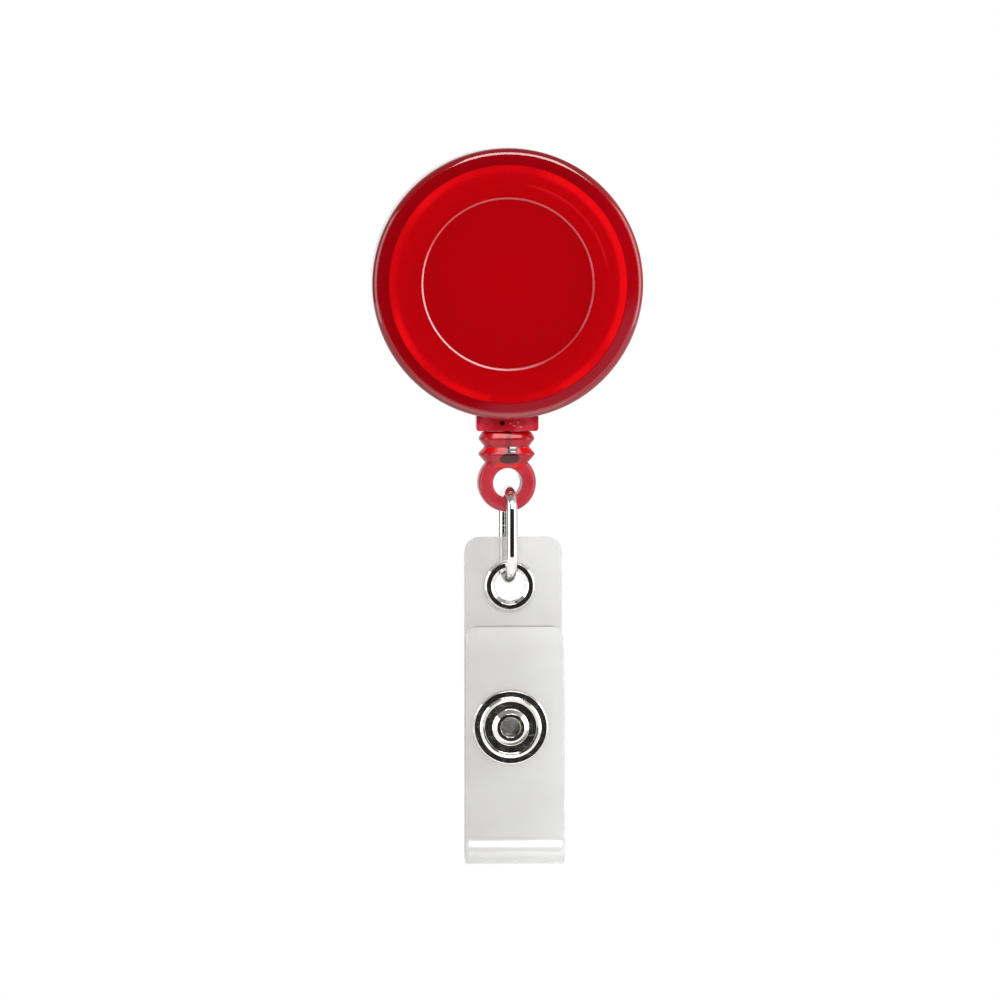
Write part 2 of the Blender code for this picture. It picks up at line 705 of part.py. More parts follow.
def clip_tongue(parent):
    """The sprung leg, which leans in to touch the belt and ends in an out-turned lip."""
    route = [
        (CLIP_TONGUE_Y, CLIP_SHOULDER - 0.35 * MM),
        (9.12 * MM, 8.0 * MM),
        (8.30 * MM, 3.0 * MM),
        (7.25 * MM, -2.5 * MM),
        (6.28 * MM, -6.2 * MM),
        (6.32 * MM, -7.1 * MM),
        (6.90 * MM, -8.1 * MM),
        (7.90 * MM, -9.0 * MM),
    ]
    points = [(p.x, p.y) for p in smooth_route([(y, z, 0) for y, z in route], 2)]
    half = CLIP_WIDTH / 2
    strip = bent_strip(points, CLIP_SHEET, -half - MM, half + MM, across_x)
    tongue = piece("clip_tongue", strip, "clip_nickel", parent)
    shape(tongue, prism(clip_blank(-9.1 * MM, CLIP_SHOULDER + MM, 4 * MM), 0, 20 * MM), "INTERSECT")


def clip_rivet(parent):
    """A domed rivet through the clip's leg, pressed into the bore of the rear cover's post."""
    head = CLIP_BASE_Y + CLIP_SHEET / 2 + FIT
    outline = [
        (0, 0.3 * MM),
        (PIN_RADIUS, 0.3 * MM),
        (PIN_RADIUS, head),
        (2.4 * MM, head),
        (2.3 * MM, head + 0.35 * MM),
        (1.6 * MM, head + 0.6 * MM),
        (0, head + 0.7 * MM),
    ]
    piece("clip_rivet", turned(outline, STEPS_SMALL), "clip_nickel", parent)


# ---------------------------------------------------------------- assembly
def build():
    clear_scene()
    case = pivot("case_frame", (0, 0, 0))
    for make in (front_cover, rear_cover, cord_feed, belt_clip, clip_rivet):
        make(case)
    spool_axis = pivot("spool_axis", (0, 0, 0))
    for make in (spool, power_spring, cord_winding, cord_anchor_knot):
        make(spool_axis)
    cord_lead(pivot("cord_end_frame", (0, 0, FITTING_TOP)))
    fitting = pivot("fitting_axis", (0, 0, FITTING_TOP), TILT)
    for make in (end_fitting, cord_end_knot):
        make(fitting)
    wire_link(pivot("link_axis", (LINK_X, 0, LINK_TOP), TILT))
    strap = pivot("strap_axis", (LINK_X, 0, LINK_BOTTOM))
    for make in (strap_back, eyelet, eyelet_washer, snap_stud, snap_post):
        make(strap)
    flap = pivot("flap_axis", (STRAP_X, FLAP_Y, FOLD_HEIGHT))
    for make in (strap_flap, snap_cap, snap_socket, snap_socket_spring):
        make(flap)
    clip_tongue(pivot("tongue_axis", (0, CLIP_TONGUE_Y, CLIP_SHOULDER)))


build()
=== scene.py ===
"""The looks of the retractable badge reel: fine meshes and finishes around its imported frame.

Lengths are in millimetres in the reel's own frame, whose origin is the middle of the spool. +Z is up and the
front faces -Y. A mesh is written in that frame, or around the place that its piece gets, and turned into
metres only when the piece is made.
"""

import math

import bmesh
import bpy
from mathutils import Matrix, Vector


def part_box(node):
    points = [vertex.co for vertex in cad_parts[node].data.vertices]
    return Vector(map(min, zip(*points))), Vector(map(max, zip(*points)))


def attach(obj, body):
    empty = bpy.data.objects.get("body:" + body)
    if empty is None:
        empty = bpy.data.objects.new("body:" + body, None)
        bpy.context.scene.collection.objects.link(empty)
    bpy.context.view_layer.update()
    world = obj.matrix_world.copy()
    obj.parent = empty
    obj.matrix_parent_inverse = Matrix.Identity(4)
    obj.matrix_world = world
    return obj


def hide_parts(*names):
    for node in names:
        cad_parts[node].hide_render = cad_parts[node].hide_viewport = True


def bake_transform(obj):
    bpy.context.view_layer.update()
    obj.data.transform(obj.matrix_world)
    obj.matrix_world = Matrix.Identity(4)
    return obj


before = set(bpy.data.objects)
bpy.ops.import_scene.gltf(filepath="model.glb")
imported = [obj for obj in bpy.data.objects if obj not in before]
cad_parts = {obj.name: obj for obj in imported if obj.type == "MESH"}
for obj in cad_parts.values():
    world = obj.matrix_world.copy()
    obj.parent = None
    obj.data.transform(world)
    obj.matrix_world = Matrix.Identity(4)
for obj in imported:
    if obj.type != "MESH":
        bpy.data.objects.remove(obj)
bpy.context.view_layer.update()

MM = 0.001
REEL = sum(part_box("spool"), Vector()) / 2
X, Y, Z = Vector((1, 0, 0)), Vector((0, 1, 0)), Vector((0, 0, 1))

# ---------------------------------------------------------------- sizes taken from the frame


def box_of(node):
    """A CAD node's lowest and highest corner, in the reel's own frame."""
    return [(corner - REEL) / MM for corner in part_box(node)]


def middle_of(node):
    low, high = box_of(node)
    return (low + high) / 2


CASE_RADIUS = box_of("front_cover")[1].x
FACE = box_of("front_cover")[0].y  # the front face
OUTLET_BOTTOM = box_of("front_cover")[0].z
LABEL_RADIUS = 10.1
LABEL_DEPTH = 0.3
CASE_ROUND = 0.9
CAVITY_RADIUS = 14.1
OUTLET_HALF_WIDTH = 3.68
OUTLET_HALF_DEPTH = 2.4
OUTLET_TOP = -14.9
BORE_RADIUS = 0.65  # of the cord's way through the outlet and the fitting
SEAM = 0.03  # half the hairline between the covers
CORD_RADIUS = 0.4
STRANDS = 6  # that lie round the cord's braid
CORD_ANCHOR = (0, -2.2, 11.5)  # the knot's place in the spool's flange
TILT = math.radians(7.0)  # the end fitting and the link hang turned this far
KNOT = Vector((0.1, 0.0, -20.72))
EYE_RADIUS = 3.46
EYE_HOLE = 1.75
EYE_HEIGHT = -23.7
LINK_X = 0.2
LINK_BEND = 2.8
LINK_TOP = -27.44
LINK_BOTTOM = -32.22
WIRE_RADIUS = 0.65
STRAP_X = middle_of("strap_back").x
STRAP_HALF = 5.8
STRAP_TOP = box_of("strap_back")[1].z
FLAP_TOP = box_of("strap_flap")[1].z
FLAP_Y = middle_of("strap_flap").y
FLAP_RAISE = 0.25  # the flap reaches this much higher than its solid, as in the photo
SHEET = 0.6
EYELET_HOLE = 2.3
SNAP_HOLE = 1.6
EYELET = Vector((middle_of("eyelet").x, 0, middle_of("eyelet").z))
SNAP = Vector((middle_of("snap_cap").x, 0, middle_of("snap_cap").z))
CLIP_HALF = 6.2
CLIP_SHEET = 0.7
CLIP_BASE_Y = 4.95
CLIP_TONGUE_Y = 9.25
CLIP_SHOULDER = 11.0
CLIP_LEG_END = -9.4
RIVET_HOLE = 1.05
RIB_DEPTH = 0.40  # of the rib pressed into the tongue


# ---------------------------------------------------------------- outlines
def rounded(corners, closed=True, steps=4):
    """The outline through corners (a, b, radius), each rounded off by its radius."""
    outline = []
    last = len(corners) - 1
    for i, (a, b, radius) in enumerate(corners):
        corner = Vector((a, b))
        if radius == 0 or (not closed and i in (0, last)):
            outline.append(corner)
            continue
        before = Vector(corners[i - 1][:2]) - corner
        after = Vector(corners[(i + 1) % len(corners)][:2]) - corner
        reach = radius / math.tan(before.angle(after) / 2)
        reach = min(reach, 0.48 * before.length, 0.48 * after.length)
        start = corner + before.normalized() * reach
        end = corner + after.normalized() * reach
        for k in range(steps + 1):
            t = k / steps
            outline.append(start * (1 - t) ** 2 + corner * (2 * t * (1 - t)) + end * t**2)
    return outline


def smooth_route(points, steps):
    """Points read from a Catmull-Rom curve through the given ones."""
    route = [Vector(p) for p in points]
    ends = [route[0] * 2 - route[1], *route, route[-1] * 2 - route[-2]]
    smooth = []
    for before, start, end, after in zip(ends, ends[1:], ends[2:], ends[3:]):
        for i in range(steps):
            t = i / steps
            bend = 2 * before - 5 * start + 4 * end - after
            twist = 3 * (start - end) + after - before
            smooth.append((2 * start + (end - before) * t + bend * t**2 + twist * t**3) / 2)
    return smooth + [route[-1]]


def arc(centre, radius, start, end, steps):
    """Points of an arc, with its angles in degrees."""
    angles = [math.radians(start + (end - start) * i / steps) for i in range(steps + 1)]
    return [Vector((centre[0] + radius * math.cos(a), centre[1] + radius * math.sin(a))) for a in angles]


def circle(radius, sides):
    """Points round a circle, as (aside, out)."""
    turns = [2 * math.pi * k / sides for k in range(sides)]
    return [(radius * math.cos(a), radius * math.sin(a)) for a in turns]


def ease(t):
    """Go smoothly from 0 to 1 as t does."""
    t = min(max(t, 0.0), 1.0)
    return t * t * (3 - 2 * t)


def strap_route():
    """The middle line of the strap's sheet in (y, z), from the top of its back layer to the top of its flap."""
    fold = [
        (0, -66.6),
        (0, -67.5),
        (-0.42, -68.5),
        (-1.45, -68.88),
        (-2.60, -68.50),
        (-3.20, -67.75),
        (-3.28, -67.25),
        (-3.12, -66.75),
        (-2.90, -66.20),
        (FLAP_Y, -65.75),
        (FLAP_Y, -65.0),
    ]
    return [Vector((0, STRAP_TOP)), *smooth_route(fold, 10), Vector((FLAP_Y, FLAP_TOP + FLAP_RAISE))]


STRAP_ROUTE = strap_route()
STRAP_LENGTH = sum((end - start).length for start, end in zip(STRAP_ROUTE, STRAP_ROUTE[1:]))


# ---------------------------------------------------------------- meshes
HOLD = 0.04  # how close to a corner firm() puts its points
LONG_SIDE = 0.14


def firm(outline):
    """Add points near both ends of every long side, so that smooth shading leaves its middle flat."""
    points = [Vector(p) for p in outline]
    held = []
    for start, end in zip(points, points[1:] + points[:1]):
        held.append(start)
        length = (end - start).length
        if length > LONG_SIDE:
            held += [start.lerp(end, HOLD / length), start.lerp(end, 1 - HOLD / length)]
    return held


def lathe(outline, steps=144):
    """Turn a closed outline of (radius, y) points round the Y axis."""
    outline = firm(outline)
    bm = bmesh.new()
    turns = [2 * math.pi * k / steps for k in range(steps)]
    rings = []
    for radius, y in outline:
        if radius < 1e-6:
            rings.append([bm.verts.new((0, y, 0))] * steps)
        else:
            rings.append([bm.verts.new((radius * math.cos(a), y, radius * math.sin(a))) for a in turns])
    for ring, after in zip(rings, rings[1:] + rings[:1]):
        for k in range(steps):
            n = (k + 1) % steps
            corners = list(dict.fromkeys((ring[k], ring[n], after[n], after[k])))
            if len(corners) > 2:
                bm.faces.new(corners)
    bmesh.ops.recalc_face_normals(bm, faces=bm.faces)
    return bm


def plug(radius, steps):
    """A round bar along Y that cuts a hole through a flat part."""
    return lathe([(0, -1), (radius, -1), (radius, 1), (0, 1)], steps)


def bridge(loops, closed=False):
    """Bridge loops of points into one body, with UVs in millimetres: round each loop, and from loop to loop."""
    bm = bmesh.new()
    layer = bm.loops.layers.uv.new("route")
    rings = [[bm.verts.new(point) for point in loop] for loop in loops]
    count = len(loops[0])
    around = [0.0]
    for k in range(count):
        around.append(around[-1] + (Vector(loops[0][(k + 1) % count]) - Vector(loops[0][k])).length)
    middles = [sum((Vector(p) for p in loop), Vector()) / count for loop in loops]
    along = [0.0]
    for i in range(len(loops)):
        along.append(along[-1] + (middles[(i + 1) % len(loops)] - middles[i]).length)
    for i in range(len(rings) if closed else len(rings) - 1):
        ring = rings[i]
        after = rings[(i + 1) % len(rings)]
        for k in range(count):
            n = (k + 1) % count
            face = bm.faces.new((ring[k], ring[n], after[n], after[k]))
            places = ((k, i), (k + 1, i), (k + 1, i + 1), (k, i + 1))
            for corner, (u, v) in zip(face.loops, places):
                corner[layer].uv = (around[u], along[v])
    if not closed:
        bm.faces.new(rings[0][::-1])
        bm.faces.new(rings[-1])
    bmesh.ops.recalc_face_normals(bm, faces=bm.faces)
    return bm


def sweep(route, section, side=Y, closed=False):
    """Carry a section of (aside, out) points along a route, turning it as little as possible."""
    loops = []
    count = len(route)
    for i, point in enumerate(route):
        if closed:
            along = (route[(i + 1) % count] - route[i - 1]).normalized()
        else:
            along = (route[min(i + 1, count - 1)] - route[max(i - 1, 0)]).normalized()
        side = (side - along * side.dot(along)).normalized()
        out = along.cross(side)
        loops.append([point + (a * side + b * out) for a, b in section])
    return bridge(loops, closed)


def stations(length, corners, step):
    """Distances along a strip, close together where its end corners are rounded."""
    curve = [1 - math.cos(math.radians(a)) for a in range(0, 90, 9)]
    start = [corners[0] * c for c in curve]
    end = [length - corners[1] * c for c in reversed(curve)]
    count = max(2, round((length - corners[0] - corners[1]) / step))
    inner = [corners[0] + (length - corners[0] - corners[1]) * i / count for i in range(count + 1)]
    return start + inner + end


def strip(route, half_width, sheet, corners, edge, step=0.3, columns=20, emboss=None):
    """A strip of sheet that follows a (y, z) route, with rounded end corners and rounded long edges."""
    lengths = [0.0]
    for start, end in zip(route, route[1:]):
        lengths.append(lengths[-1] + (end - start).length)
    section = [(-1 + 2 * k / columns, 0.0, 1.0) for k in range(columns + 1)]
    section += [(1.0, math.cos(math.radians(a)), math.sin(math.radians(a))) for a in (60, 30, 0, -30, -60)]
    section += [(1 - 2 * k / columns, 0.0, -1.0) for k in range(columns + 1)]
    section += [(-1.0, -math.cos(math.radians(a)), math.sin(math.radians(a))) for a in (-60, -30, 0, 30, 60)]
    loops = []
    segment = 0
    for distance in stations(lengths[-1], corners, step):
        while segment < len(route) - 2 and lengths[segment + 1] < distance:
            segment += 1
        share = (distance - lengths[segment]) / (lengths[segment + 1] - lengths[segment])
        point = route[segment].lerp(route[segment + 1], share)
        along = (route[min(segment + 2, len(route) - 1)] - route[max(segment - 1, 0)]).normalized()
        normal = Vector((-along.y, along.x))
        width = half_width
        for corner, gap in zip(corners, (distance, lengths[-1] - distance)):
            if gap < corner:
                width -= corner - math.sqrt(max(corner**2 - (corner - gap) ** 2, 0))
        loop = []
        for u, du, dv in section:
            across = u * (width - edge) + du * edge
            out = sheet / 2 * dv
            if emboss:
                out += emboss(across, distance)
            place = point + normal * out
            loop.append((across, place.x, place.y))
        loops.append(loop)
    return bridge(loops)


def prism(outline, front, back):
    """Extrude an outline of (x, z) points from front to back."""
    return bridge([[Vector((x, y, z)) for x, z in outline] for y in (front, back)])


def block(low, high):
    """A box between two opposite corners."""
    corners = [(low[0], low[2]), (high[0], low[2]), (high[0], high[2]), (low[0], high[2])]
    return prism(corners, low[1], high[1])


def rod(radii_heights, steps=32):
    """A round bar along Z through (radius, height) pairs."""
    return bridge([[Vector((x, y, z)) for x, y in circle(r, steps)] for r, z in radii_heights])


# ---------------------------------------------------------------- pieces
def make(name, bm, place=(0, 0, 0), turn=0.0, smooth=40):
    """Turn a bmesh in millimetres into an object in metres, around a place in the reel's frame."""
    bmesh.ops.scale(bm, vec=(MM, MM, MM), verts=bm.verts)
    mesh = bpy.data.meshes.new(name)
    bm.to_mesh(mesh)
    bm.free()
    mesh.shade_smooth()
    mesh.set_sharp_from_angle(angle=math.radians(smooth))
    body = bpy.data.objects.new(name, mesh)
    body.matrix_world = Matrix.Translation(REEL + Vector(place) * MM) @ Matrix.Rotation(turn, 4, "Z")
    bpy.context.collection.objects.link(body)
    return body


def shape(body, bm, operation="DIFFERENCE", place=(0, 0, 0), turn=0.0, smooth=40):
    """Cut one closed mesh from a piece, or join it on, and keep the result as the piece's mesh."""
    tool = make(body.name + "_tool", bm, place, turn)
    boolean = body.modifiers.new("shape", "BOOLEAN")
    boolean.operation = operation
    boolean.solver = "EXACT"
    boolean.object = tool
    bpy.context.view_layer.update()
    graph = bpy.context.evaluated_depsgraph_get()
    mesh = bpy.data.meshes.new_from_object(body.evaluated_get(graph))
    body.modifiers.clear()
    body.data = mesh
    mesh.shade_smooth()
    mesh.set_sharp_from_angle(angle=math.radians(smooth))
    bpy.data.objects.remove(tool, do_unlink=True)


def finish(piece, material, nodes=(), body=None):
    """Give a piece its material, the CAD nodes it stands for, and the body it moves with."""
    piece.data.materials.clear()
    piece.data.materials.append(material)
    if nodes:
        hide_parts(*nodes)
    if body:
        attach(piece, body)
    return piece


# ---------------------------------------------------------------- materials
class Look:
    """A material under construction. Coordinates and sizes in its nodes are in millimetres."""

    def __init__(self, name, **fixed):
        self.material = bpy.data.materials.new(name)
        self.material.use_nodes = True
        self.tree = self.material.node_tree
        self.shader = self.tree.nodes["Principled BSDF"]
        for key, value in fixed.items():
            self.shader.inputs[key.replace("_", " ")].default_value = value

    def node(self, kind, inputs=(), **settings):
        node = self.tree.nodes.new(kind)
        for key, value in settings.items():
            setattr(node, key, value)
        for key, value in dict(inputs).items():
            if hasattr(value, "links"):
                self.tree.links.new(value, node.inputs[key])
            else:
                node.inputs[key].default_value = value
        return node

    def drive(self, key, output):
        self.tree.links.new(output, self.shader.inputs[key])

    def stretch(self, place, factors):
        return self.node("ShaderNodeVectorMath", {0: place, 1: factors}, operation="MULTIPLY").outputs[0]

    def place(self):
        """Where a point lies on its piece, in millimetres."""
        return self.stretch(self.node("ShaderNodeTexCoord").outputs["Object"], (1000, 1000, 1000))

    def route(self):
        """Where a point lies round and along its piece, in millimetres, from its UVs."""
        return self.node("ShaderNodeUVMap", uv_map="route").outputs[0]

    def away(self, place, factors, middle=(0, 0, 0)):
        """How far a place lies from a middle, once it is stretched along each axis."""
        flat = self.stretch(place, factors)
        return self.node("ShaderNodeVectorMath", {0: flat, 1: middle}, operation="DISTANCE").outputs["Value"]

    def noise(self, place, scale, detail=3.0, roughness=0.5):
        inputs = {"Vector": place, "Scale": scale, "Detail": detail, "Roughness": roughness}
        return self.node("ShaderNodeTexNoise", inputs).outputs["Fac"]

    def math(self, operation, a, b=0.0):
        return self.node("ShaderNodeMath", {0: a, 1: b}, operation=operation).outputs[0]

    def times(self, *values):
        """The product of masks, or of a mask and a number."""
        product = values[0]
        for value in values[1:]:
            product = self.math("MULTIPLY", product, value)
        return product

    def span(self, value, low, high, start=0.0, end=1.0):
        """Map low..high smoothly to start..end."""
        inputs = {"Value": value, "From Min": low, "From Max": high, "To Min": start, "To Max": end}
        return self.node("ShaderNodeMapRange", inputs, interpolation_type="SMOOTHSTEP").outputs[0]

    def band(self, value, rising, falling):
        """A mask that rises over one range of the value and falls over the other."""
        return self.times(self.span(value, *rising), self.span(value, *falling))

    def split(self, place):
        return self.node("ShaderNodeSeparateXYZ", {0: place}).outputs

    def ramp(self, value, stops):
        """Colours at positions from 0 to 1, blended between them."""
        node = self.node("ShaderNodeValToRGB", {0: value})
        band = node.color_ramp
        while len(band.elements) < len(stops):
            band.elements.new(0.5)
        for element, (position, colour) in zip(band.elements, stops):
            element.position = position
            element.color = (*colour, 1)
        return node.outputs[0]

    def mix(self, share, a, b):
        node = self.node("ShaderNodeMix", data_type="RGBA")
        for socket, value in ((0, share), (6, a), (7, b)):
            if hasattr(value, "links"):
                self.tree.links.new(value, node.inputs[socket])
            else:
                node.inputs[socket].default_value = value if socket == 0 else (*value, 1)
        return node.outputs[2]

    def bump(self, height, strength, distance):
        """Roughen the surface by a height map whose full range is a distance in millimetres."""
        inputs = {"Height": height, "Strength": strength, "Distance": distance * MM}
        self.drive("Normal", self.node("ShaderNodeBump", inputs).outputs[0])

    def scratches(self, place, factors, density):
        """A mask of thin straight marks, long in the direction of the smallest factor."""
        return self.span(self.noise(self.stretch(place, factors), 1.0, 2.0, 0.6), density, density + 0.05)


def case_look():
    """Translucent red, tinted by how much plastic lies behind each point, with painted light where light comes
    through from behind, painted highlights on the edges and a painted hazy reflection on the side wall.
    """
    look = Look("case_red_gloss", IOR=1.5, Specular_IOR_Level=0.6)
    place = look.place()
    radius = look.away(place, (1, 0, 1))
    sides = look.split(place)
    # painted light by radius: the tint is lighter towards the rim, where light comes through from behind
    tone_and_painted_light = look.ramp(
        look.math("DIVIDE", radius, CASE_RADIUS),
        [
            (0.0, (0.282, 0.0002, 0.0018)),
            (9.7 / CASE_RADIUS, (0.264, 0.0002, 0.0018)),
            (10.6 / CASE_RADIUS, (0.290, 0.0002, 0.0018)),
            (12.8 / CASE_RADIUS, (0.318, 0.0003, 0.0020)),
            (13.9 / CASE_RADIUS, (0.360, 0.0005, 0.0024)),
            (14.12 / CASE_RADIUS, (0.170, 0.0001, 0.0015)),
            (15.2 / CASE_RADIUS, (0.190, 0.0002, 0.002)),
            (1.0, (0.155, 0.0005, 0.003)),
        ],
    )
    # light gathers in the chamfer behind the rim, unevenly, and not above the cord's outlet
    ring = look.band(radius, (12.9, 13.5), (14.1, 13.95))
    uneven = look.span(look.noise(place, 0.09, 1.0), 0.38, 0.58, 0.25, 1.0)
    shaded = look.times(
        look.span(sides["Z"], -12.9, -13.4), look.span(sides["X"], 2.4, 1.0), look.span(sides["X"], -2.4, -1.0)
    )
    lit = look.times(ring, look.math("SUBTRACT", uneven, shaded))
    tone_and_painted_light = look.mix(lit, tone_and_painted_light, (0.54, 0.002, 0.004))
    # the recess's edge catches the light, most of all at the lower left
    lower_left = look.times(look.math("ADD", sides["X"], sides["Z"]), -1.0)
    lower_right = look.math("SUBTRACT", sides["X"], sides["Z"])
    edge = look.times(
        look.band(radius, (9.98, 10.06), (10.22, 10.14)),
        look.span(sides["Y"], -3.0, -3.8),
        look.span(lower_right, 6.0, 13.0, 0.9, 0.45),
    )
    edge_tone = look.mix(look.span(lower_left, 2.0, 12.0), (0.62, 0.10, 0.115), (0.84, 0.46, 0.48))
    tone_and_painted_light = look.mix(edge, tone_and_painted_light, edge_tone)
    # painted light: the side wall is lighter at the right, and a painted hazy reflection lies over its lower
    # part
    right = look.times(look.span(radius, 14.0, 14.2), look.span(sides["X"], 8.0, 14.5, 0.0, 0.8))
    tone_and_painted_light = look.mix(right, tone_and_painted_light, (0.27, 0.0003, 0.003))
    low_side = look.math("SUBTRACT", look.times(sides["X"], 0.7), sides["Z"])
    haze = look.times(look.span(radius, 13.95, 14.3), look.span(low_side, 10.5, 15.0, 0.0, 0.8))
    tone_and_painted_light = look.mix(haze, tone_and_painted_light, (0.22, 0.012, 0.020))
    # a faint lighter arc at the upper right, and faint marks all over
    upper_right = look.math("MINIMUM", sides["X"], sides["Z"])
    faint_arc = look.band(radius, (11.6, 11.85), (12.1, 11.9))
    faint_arc = look.times(faint_arc, look.span(upper_right, 1.0, 4.0, 0.0, 0.5))
    tone_and_painted_light = look.mix(faint_arc, tone_and_painted_light, (0.46, 0.006, 0.009))
    tone = look.span(look.noise(place, 0.35, 4.0, 0.55), 0.3, 0.7, 0.0, 0.12)
    tone_and_painted_light = look.mix(tone, tone_and_painted_light, (0.25, 0.0, 0.004))
    # the block round the cord is hazier and lets more light through, with a deeper red round the bore
    outlet = look.span(sides["Z"], -15.5, -16.1)
    cloud = look.noise(place, 1.1, 3.0)
    block_tone = look.ramp(cloud, [(0.35, (0.46, 0.016, 0.030)), (0.65, (0.58, 0.036, 0.058))])
    near_bore = look.band(sides["X"], (-2.4, -1.4), (1.4, 0.5))
    block_tone = look.mix(look.times(near_bore, 0.8), block_tone, (0.40, 0.004, 0.010))
    # pale specks and one dark bubble in the block
    pale = look.times(
        look.band(sides["X"], (0.2, 0.4), (2.0, 1.8)),
        look.span(sides["Z"], -17.1, -16.95),
        look.span(sides["Z"], -16.3, -16.45),
        look.span(look.noise(place, 2.6, 3.0), 0.54, 0.60, 0.0, 0.8),
    )
    block_tone = look.mix(pale, block_tone, (0.80, 0.22, 0.26))
    bubble = look.away(place, (1, 0, 1), (-0.6, 0, -16.5))
    block_tone = look.mix(look.span(bubble, 0.38, 0.22), block_tone, (0.03, 0.001, 0.002))
    look.drive("Base Color", look.mix(outlet, tone_and_painted_light, block_tone))
    look.drive("Transmission Weight", look.span(outlet, 0.0, 1.0, 0.10, 0.30))
    scuffs = look.scratches(place, (0.5, 2.0, 9.0), 0.66)
    wear = look.times(scuffs, look.span(look.noise(place, 0.5, 2.0), 0.5, 0.7))
    smear = look.span(look.noise(place, 0.8, 3.0), 0.35, 0.75, 0.045, 0.10)
    look.drive("Roughness", look.math("ADD", smear, look.times(wear, 0.12)))
    look.bump(look.noise(place, 0.9, 2.0), 0.10, 0.010)
    return look.material


def fitting_look():
    """Hazy pinkish red that lets some light through, with painted shade where the cord and the knot lie behind
    it.
    """
    look = Look("fitting_red_haze", Transmission_Weight=0.25, IOR=1.36, Specular_IOR_Level=0.42)
    place = look.place()
    sides = look.split(place)
    cloud = look.noise(place, 0.7, 3.0)
    ribs = look.ramp(cloud, [(0.30, (0.31, 0.005, 0.012)), (0.70, (0.39, 0.013, 0.024))])
    eye = look.ramp(cloud, [(0.30, (0.35, 0.021, 0.032)), (0.70, (0.42, 0.033, 0.046))])
    colour = look.mix(look.span(sides["Z"], -21.1, -21.8), ribs, eye)
    # deeper red on the ribs' upper slopes and above the eye, where the light runs along the plastic
    upper = look.band(sides["Z"], (-18.25, -18.05), (-17.45, -17.65))
    lower = look.band(sides["Z"], (-20.0, -19.85), (-19.4, -19.55))
    deep = look.times(look.math("ADD", upper, lower), look.span(sides["Y"], 0.5, -0.5))
    wide = look.math("ABSOLUTE", look.math("SUBTRACT", sides["X"], 0.1))
    slope = look.math("ADD", sides["Z"], look.times(wide, -0.35))
    facet = look.times(
        look.span(sides["Z"], -21.35, -21.5),
        look.span(wide, 0.25, 0.45),
        look.span(slope, -22.55, -22.4),
        look.span(wide, 1.8, 1.6),
    )
    colour = look.mix(look.math("MAXIMUM", deep, facet), colour, (0.56, 0.002, 0.004))
    # painted shade: the cord, the bar between the two window slits and the knot are painted dark on the plastic
    # in front of them, as the dark cord seen through it in the shade of the pocket
    cord = look.times(
        look.span(sides["X"], -0.5, -0.3),
        look.span(sides["X"], 0.35, 0.15, 0.0, 0.6),
        look.span(sides["Z"], -21.0, -20.8),
    )
    colour = look.mix(cord, colour, (0.12, 0.003, 0.006))
    bar = look.times(
        look.band(sides["Z"], (-19.86, -19.82), (-19.60, -19.64)),
        look.span(sides["X"], -0.25, -0.15),
        look.span(sides["X"], 1.05, 0.95),
    )
    colour = look.mix(bar, colour, (0.01, 0.006, 0.006))
    ragged = look.span(cloud, 0.3, 0.7, -0.12, 0.12)
    knot_shade_distance = look.math("ADD", look.away(place, (0.83, 0, 1.6), (0.06, 0, -33.15)), ragged)
    colour = look.mix(look.span(knot_shade_distance, 1.12, 0.85, 0.0, 0.93), colour, (0.030, 0.002, 0.003))
    look.drive("Base Color", colour)
    look.drive("Roughness", look.span(look.noise(place, 1.5, 2.0), 0.3, 0.7, 0.12, 0.20))
    look.bump(look.noise(place, 2.0, 2.0), 0.15, 0.02)
    return look.material


def moulded_look(name, dark, light, roughness):
    """Satin moulded plastic with fine grain and faint flow marks."""
    look = Look(name, IOR=1.5)
    place = look.place()
    look.drive("Base Color", look.mix(look.span(look.noise(place, 0.4, 4.0), 0.3, 0.7), dark, light))
    grain = look.noise(place, 14.0, 2.0)
    look.drive("Roughness", look.span(grain, 0.3, 0.7, roughness - 0.06, roughness + 0.08))
    look.bump(grain, 0.25, 0.01)
    return look.material


def metal_look(name, dark, light, roughness, brushed, uv=False, shade_below=None):
    """Plated metal with faint clouding and fine brushed lines, and with painted shade below a given height, at
    the edges that turn away from view.
    """
    look = Look(name, Metallic=1.0)
    place = look.route() if uv else look.place()
    clouds = look.span(look.noise(place, 0.6, 3.0), 0.35, 0.7)
    lines = look.scratches(place, brushed, 0.60)
    colour = look.mix(clouds, dark, light)
    if shade_below is not None:
        # painted shade: darker at the edges that turn away from view, below the given height
        facing = look.node("ShaderNodeLayerWeight", {"Blend": 0.5}).outputs["Facing"]
        low = look.span(look.split(look.place())["Z"], shade_below + 0.4, shade_below - 0.4)
        painted_edge_shade = look.times(low, look.span(facing, 0.38, 0.60))
        colour = look.mix(painted_edge_shade, colour, (0.035, 0.030, 0.026))
    look.drive("Base Color", colour)
    rough = look.span(look.noise(place, 1.3, 3.0), 0.3, 0.7, roughness, roughness + 0.07)
    look.drive("Roughness", look.math("ADD", rough, look.times(lines, 0.06)))
    look.bump(lines, 0.04, 0.004)
    return look.material


def cord_look():
    """Braided black nylon, with its crossing strands from UVs round and along the cord."""
    look = Look("cord_braid", Sheen_Weight=0.35, Sheen_Roughness=0.4, Specular_IOR_Level=0.35)
    sides = look.split(look.route())
    around = look.times(sides["X"], STRANDS / CORD_RADIUS)
    along = look.times(sides["Y"], 9.0)
    left = look.math("SINE", look.math("ADD", around, along))
    right = look.math("SINE", look.math("SUBTRACT", around, along))
    strands = look.span(look.times(left, right), -0.7, 0.7)
    fuzz = look.noise(look.place(), 22.0, 3.0)
    tone = look.times(strands, look.span(fuzz, 0.3, 0.7, 0.6, 1.0))
    look.drive("Base Color", look.mix(tone, (0.006, 0.005, 0.006), (0.045, 0.040, 0.042)))
    look.drive("Roughness", look.span(strands, 0.0, 1.0, 0.85, 0.55))
    look.bump(strands, 0.8, 0.06)
    return look.material


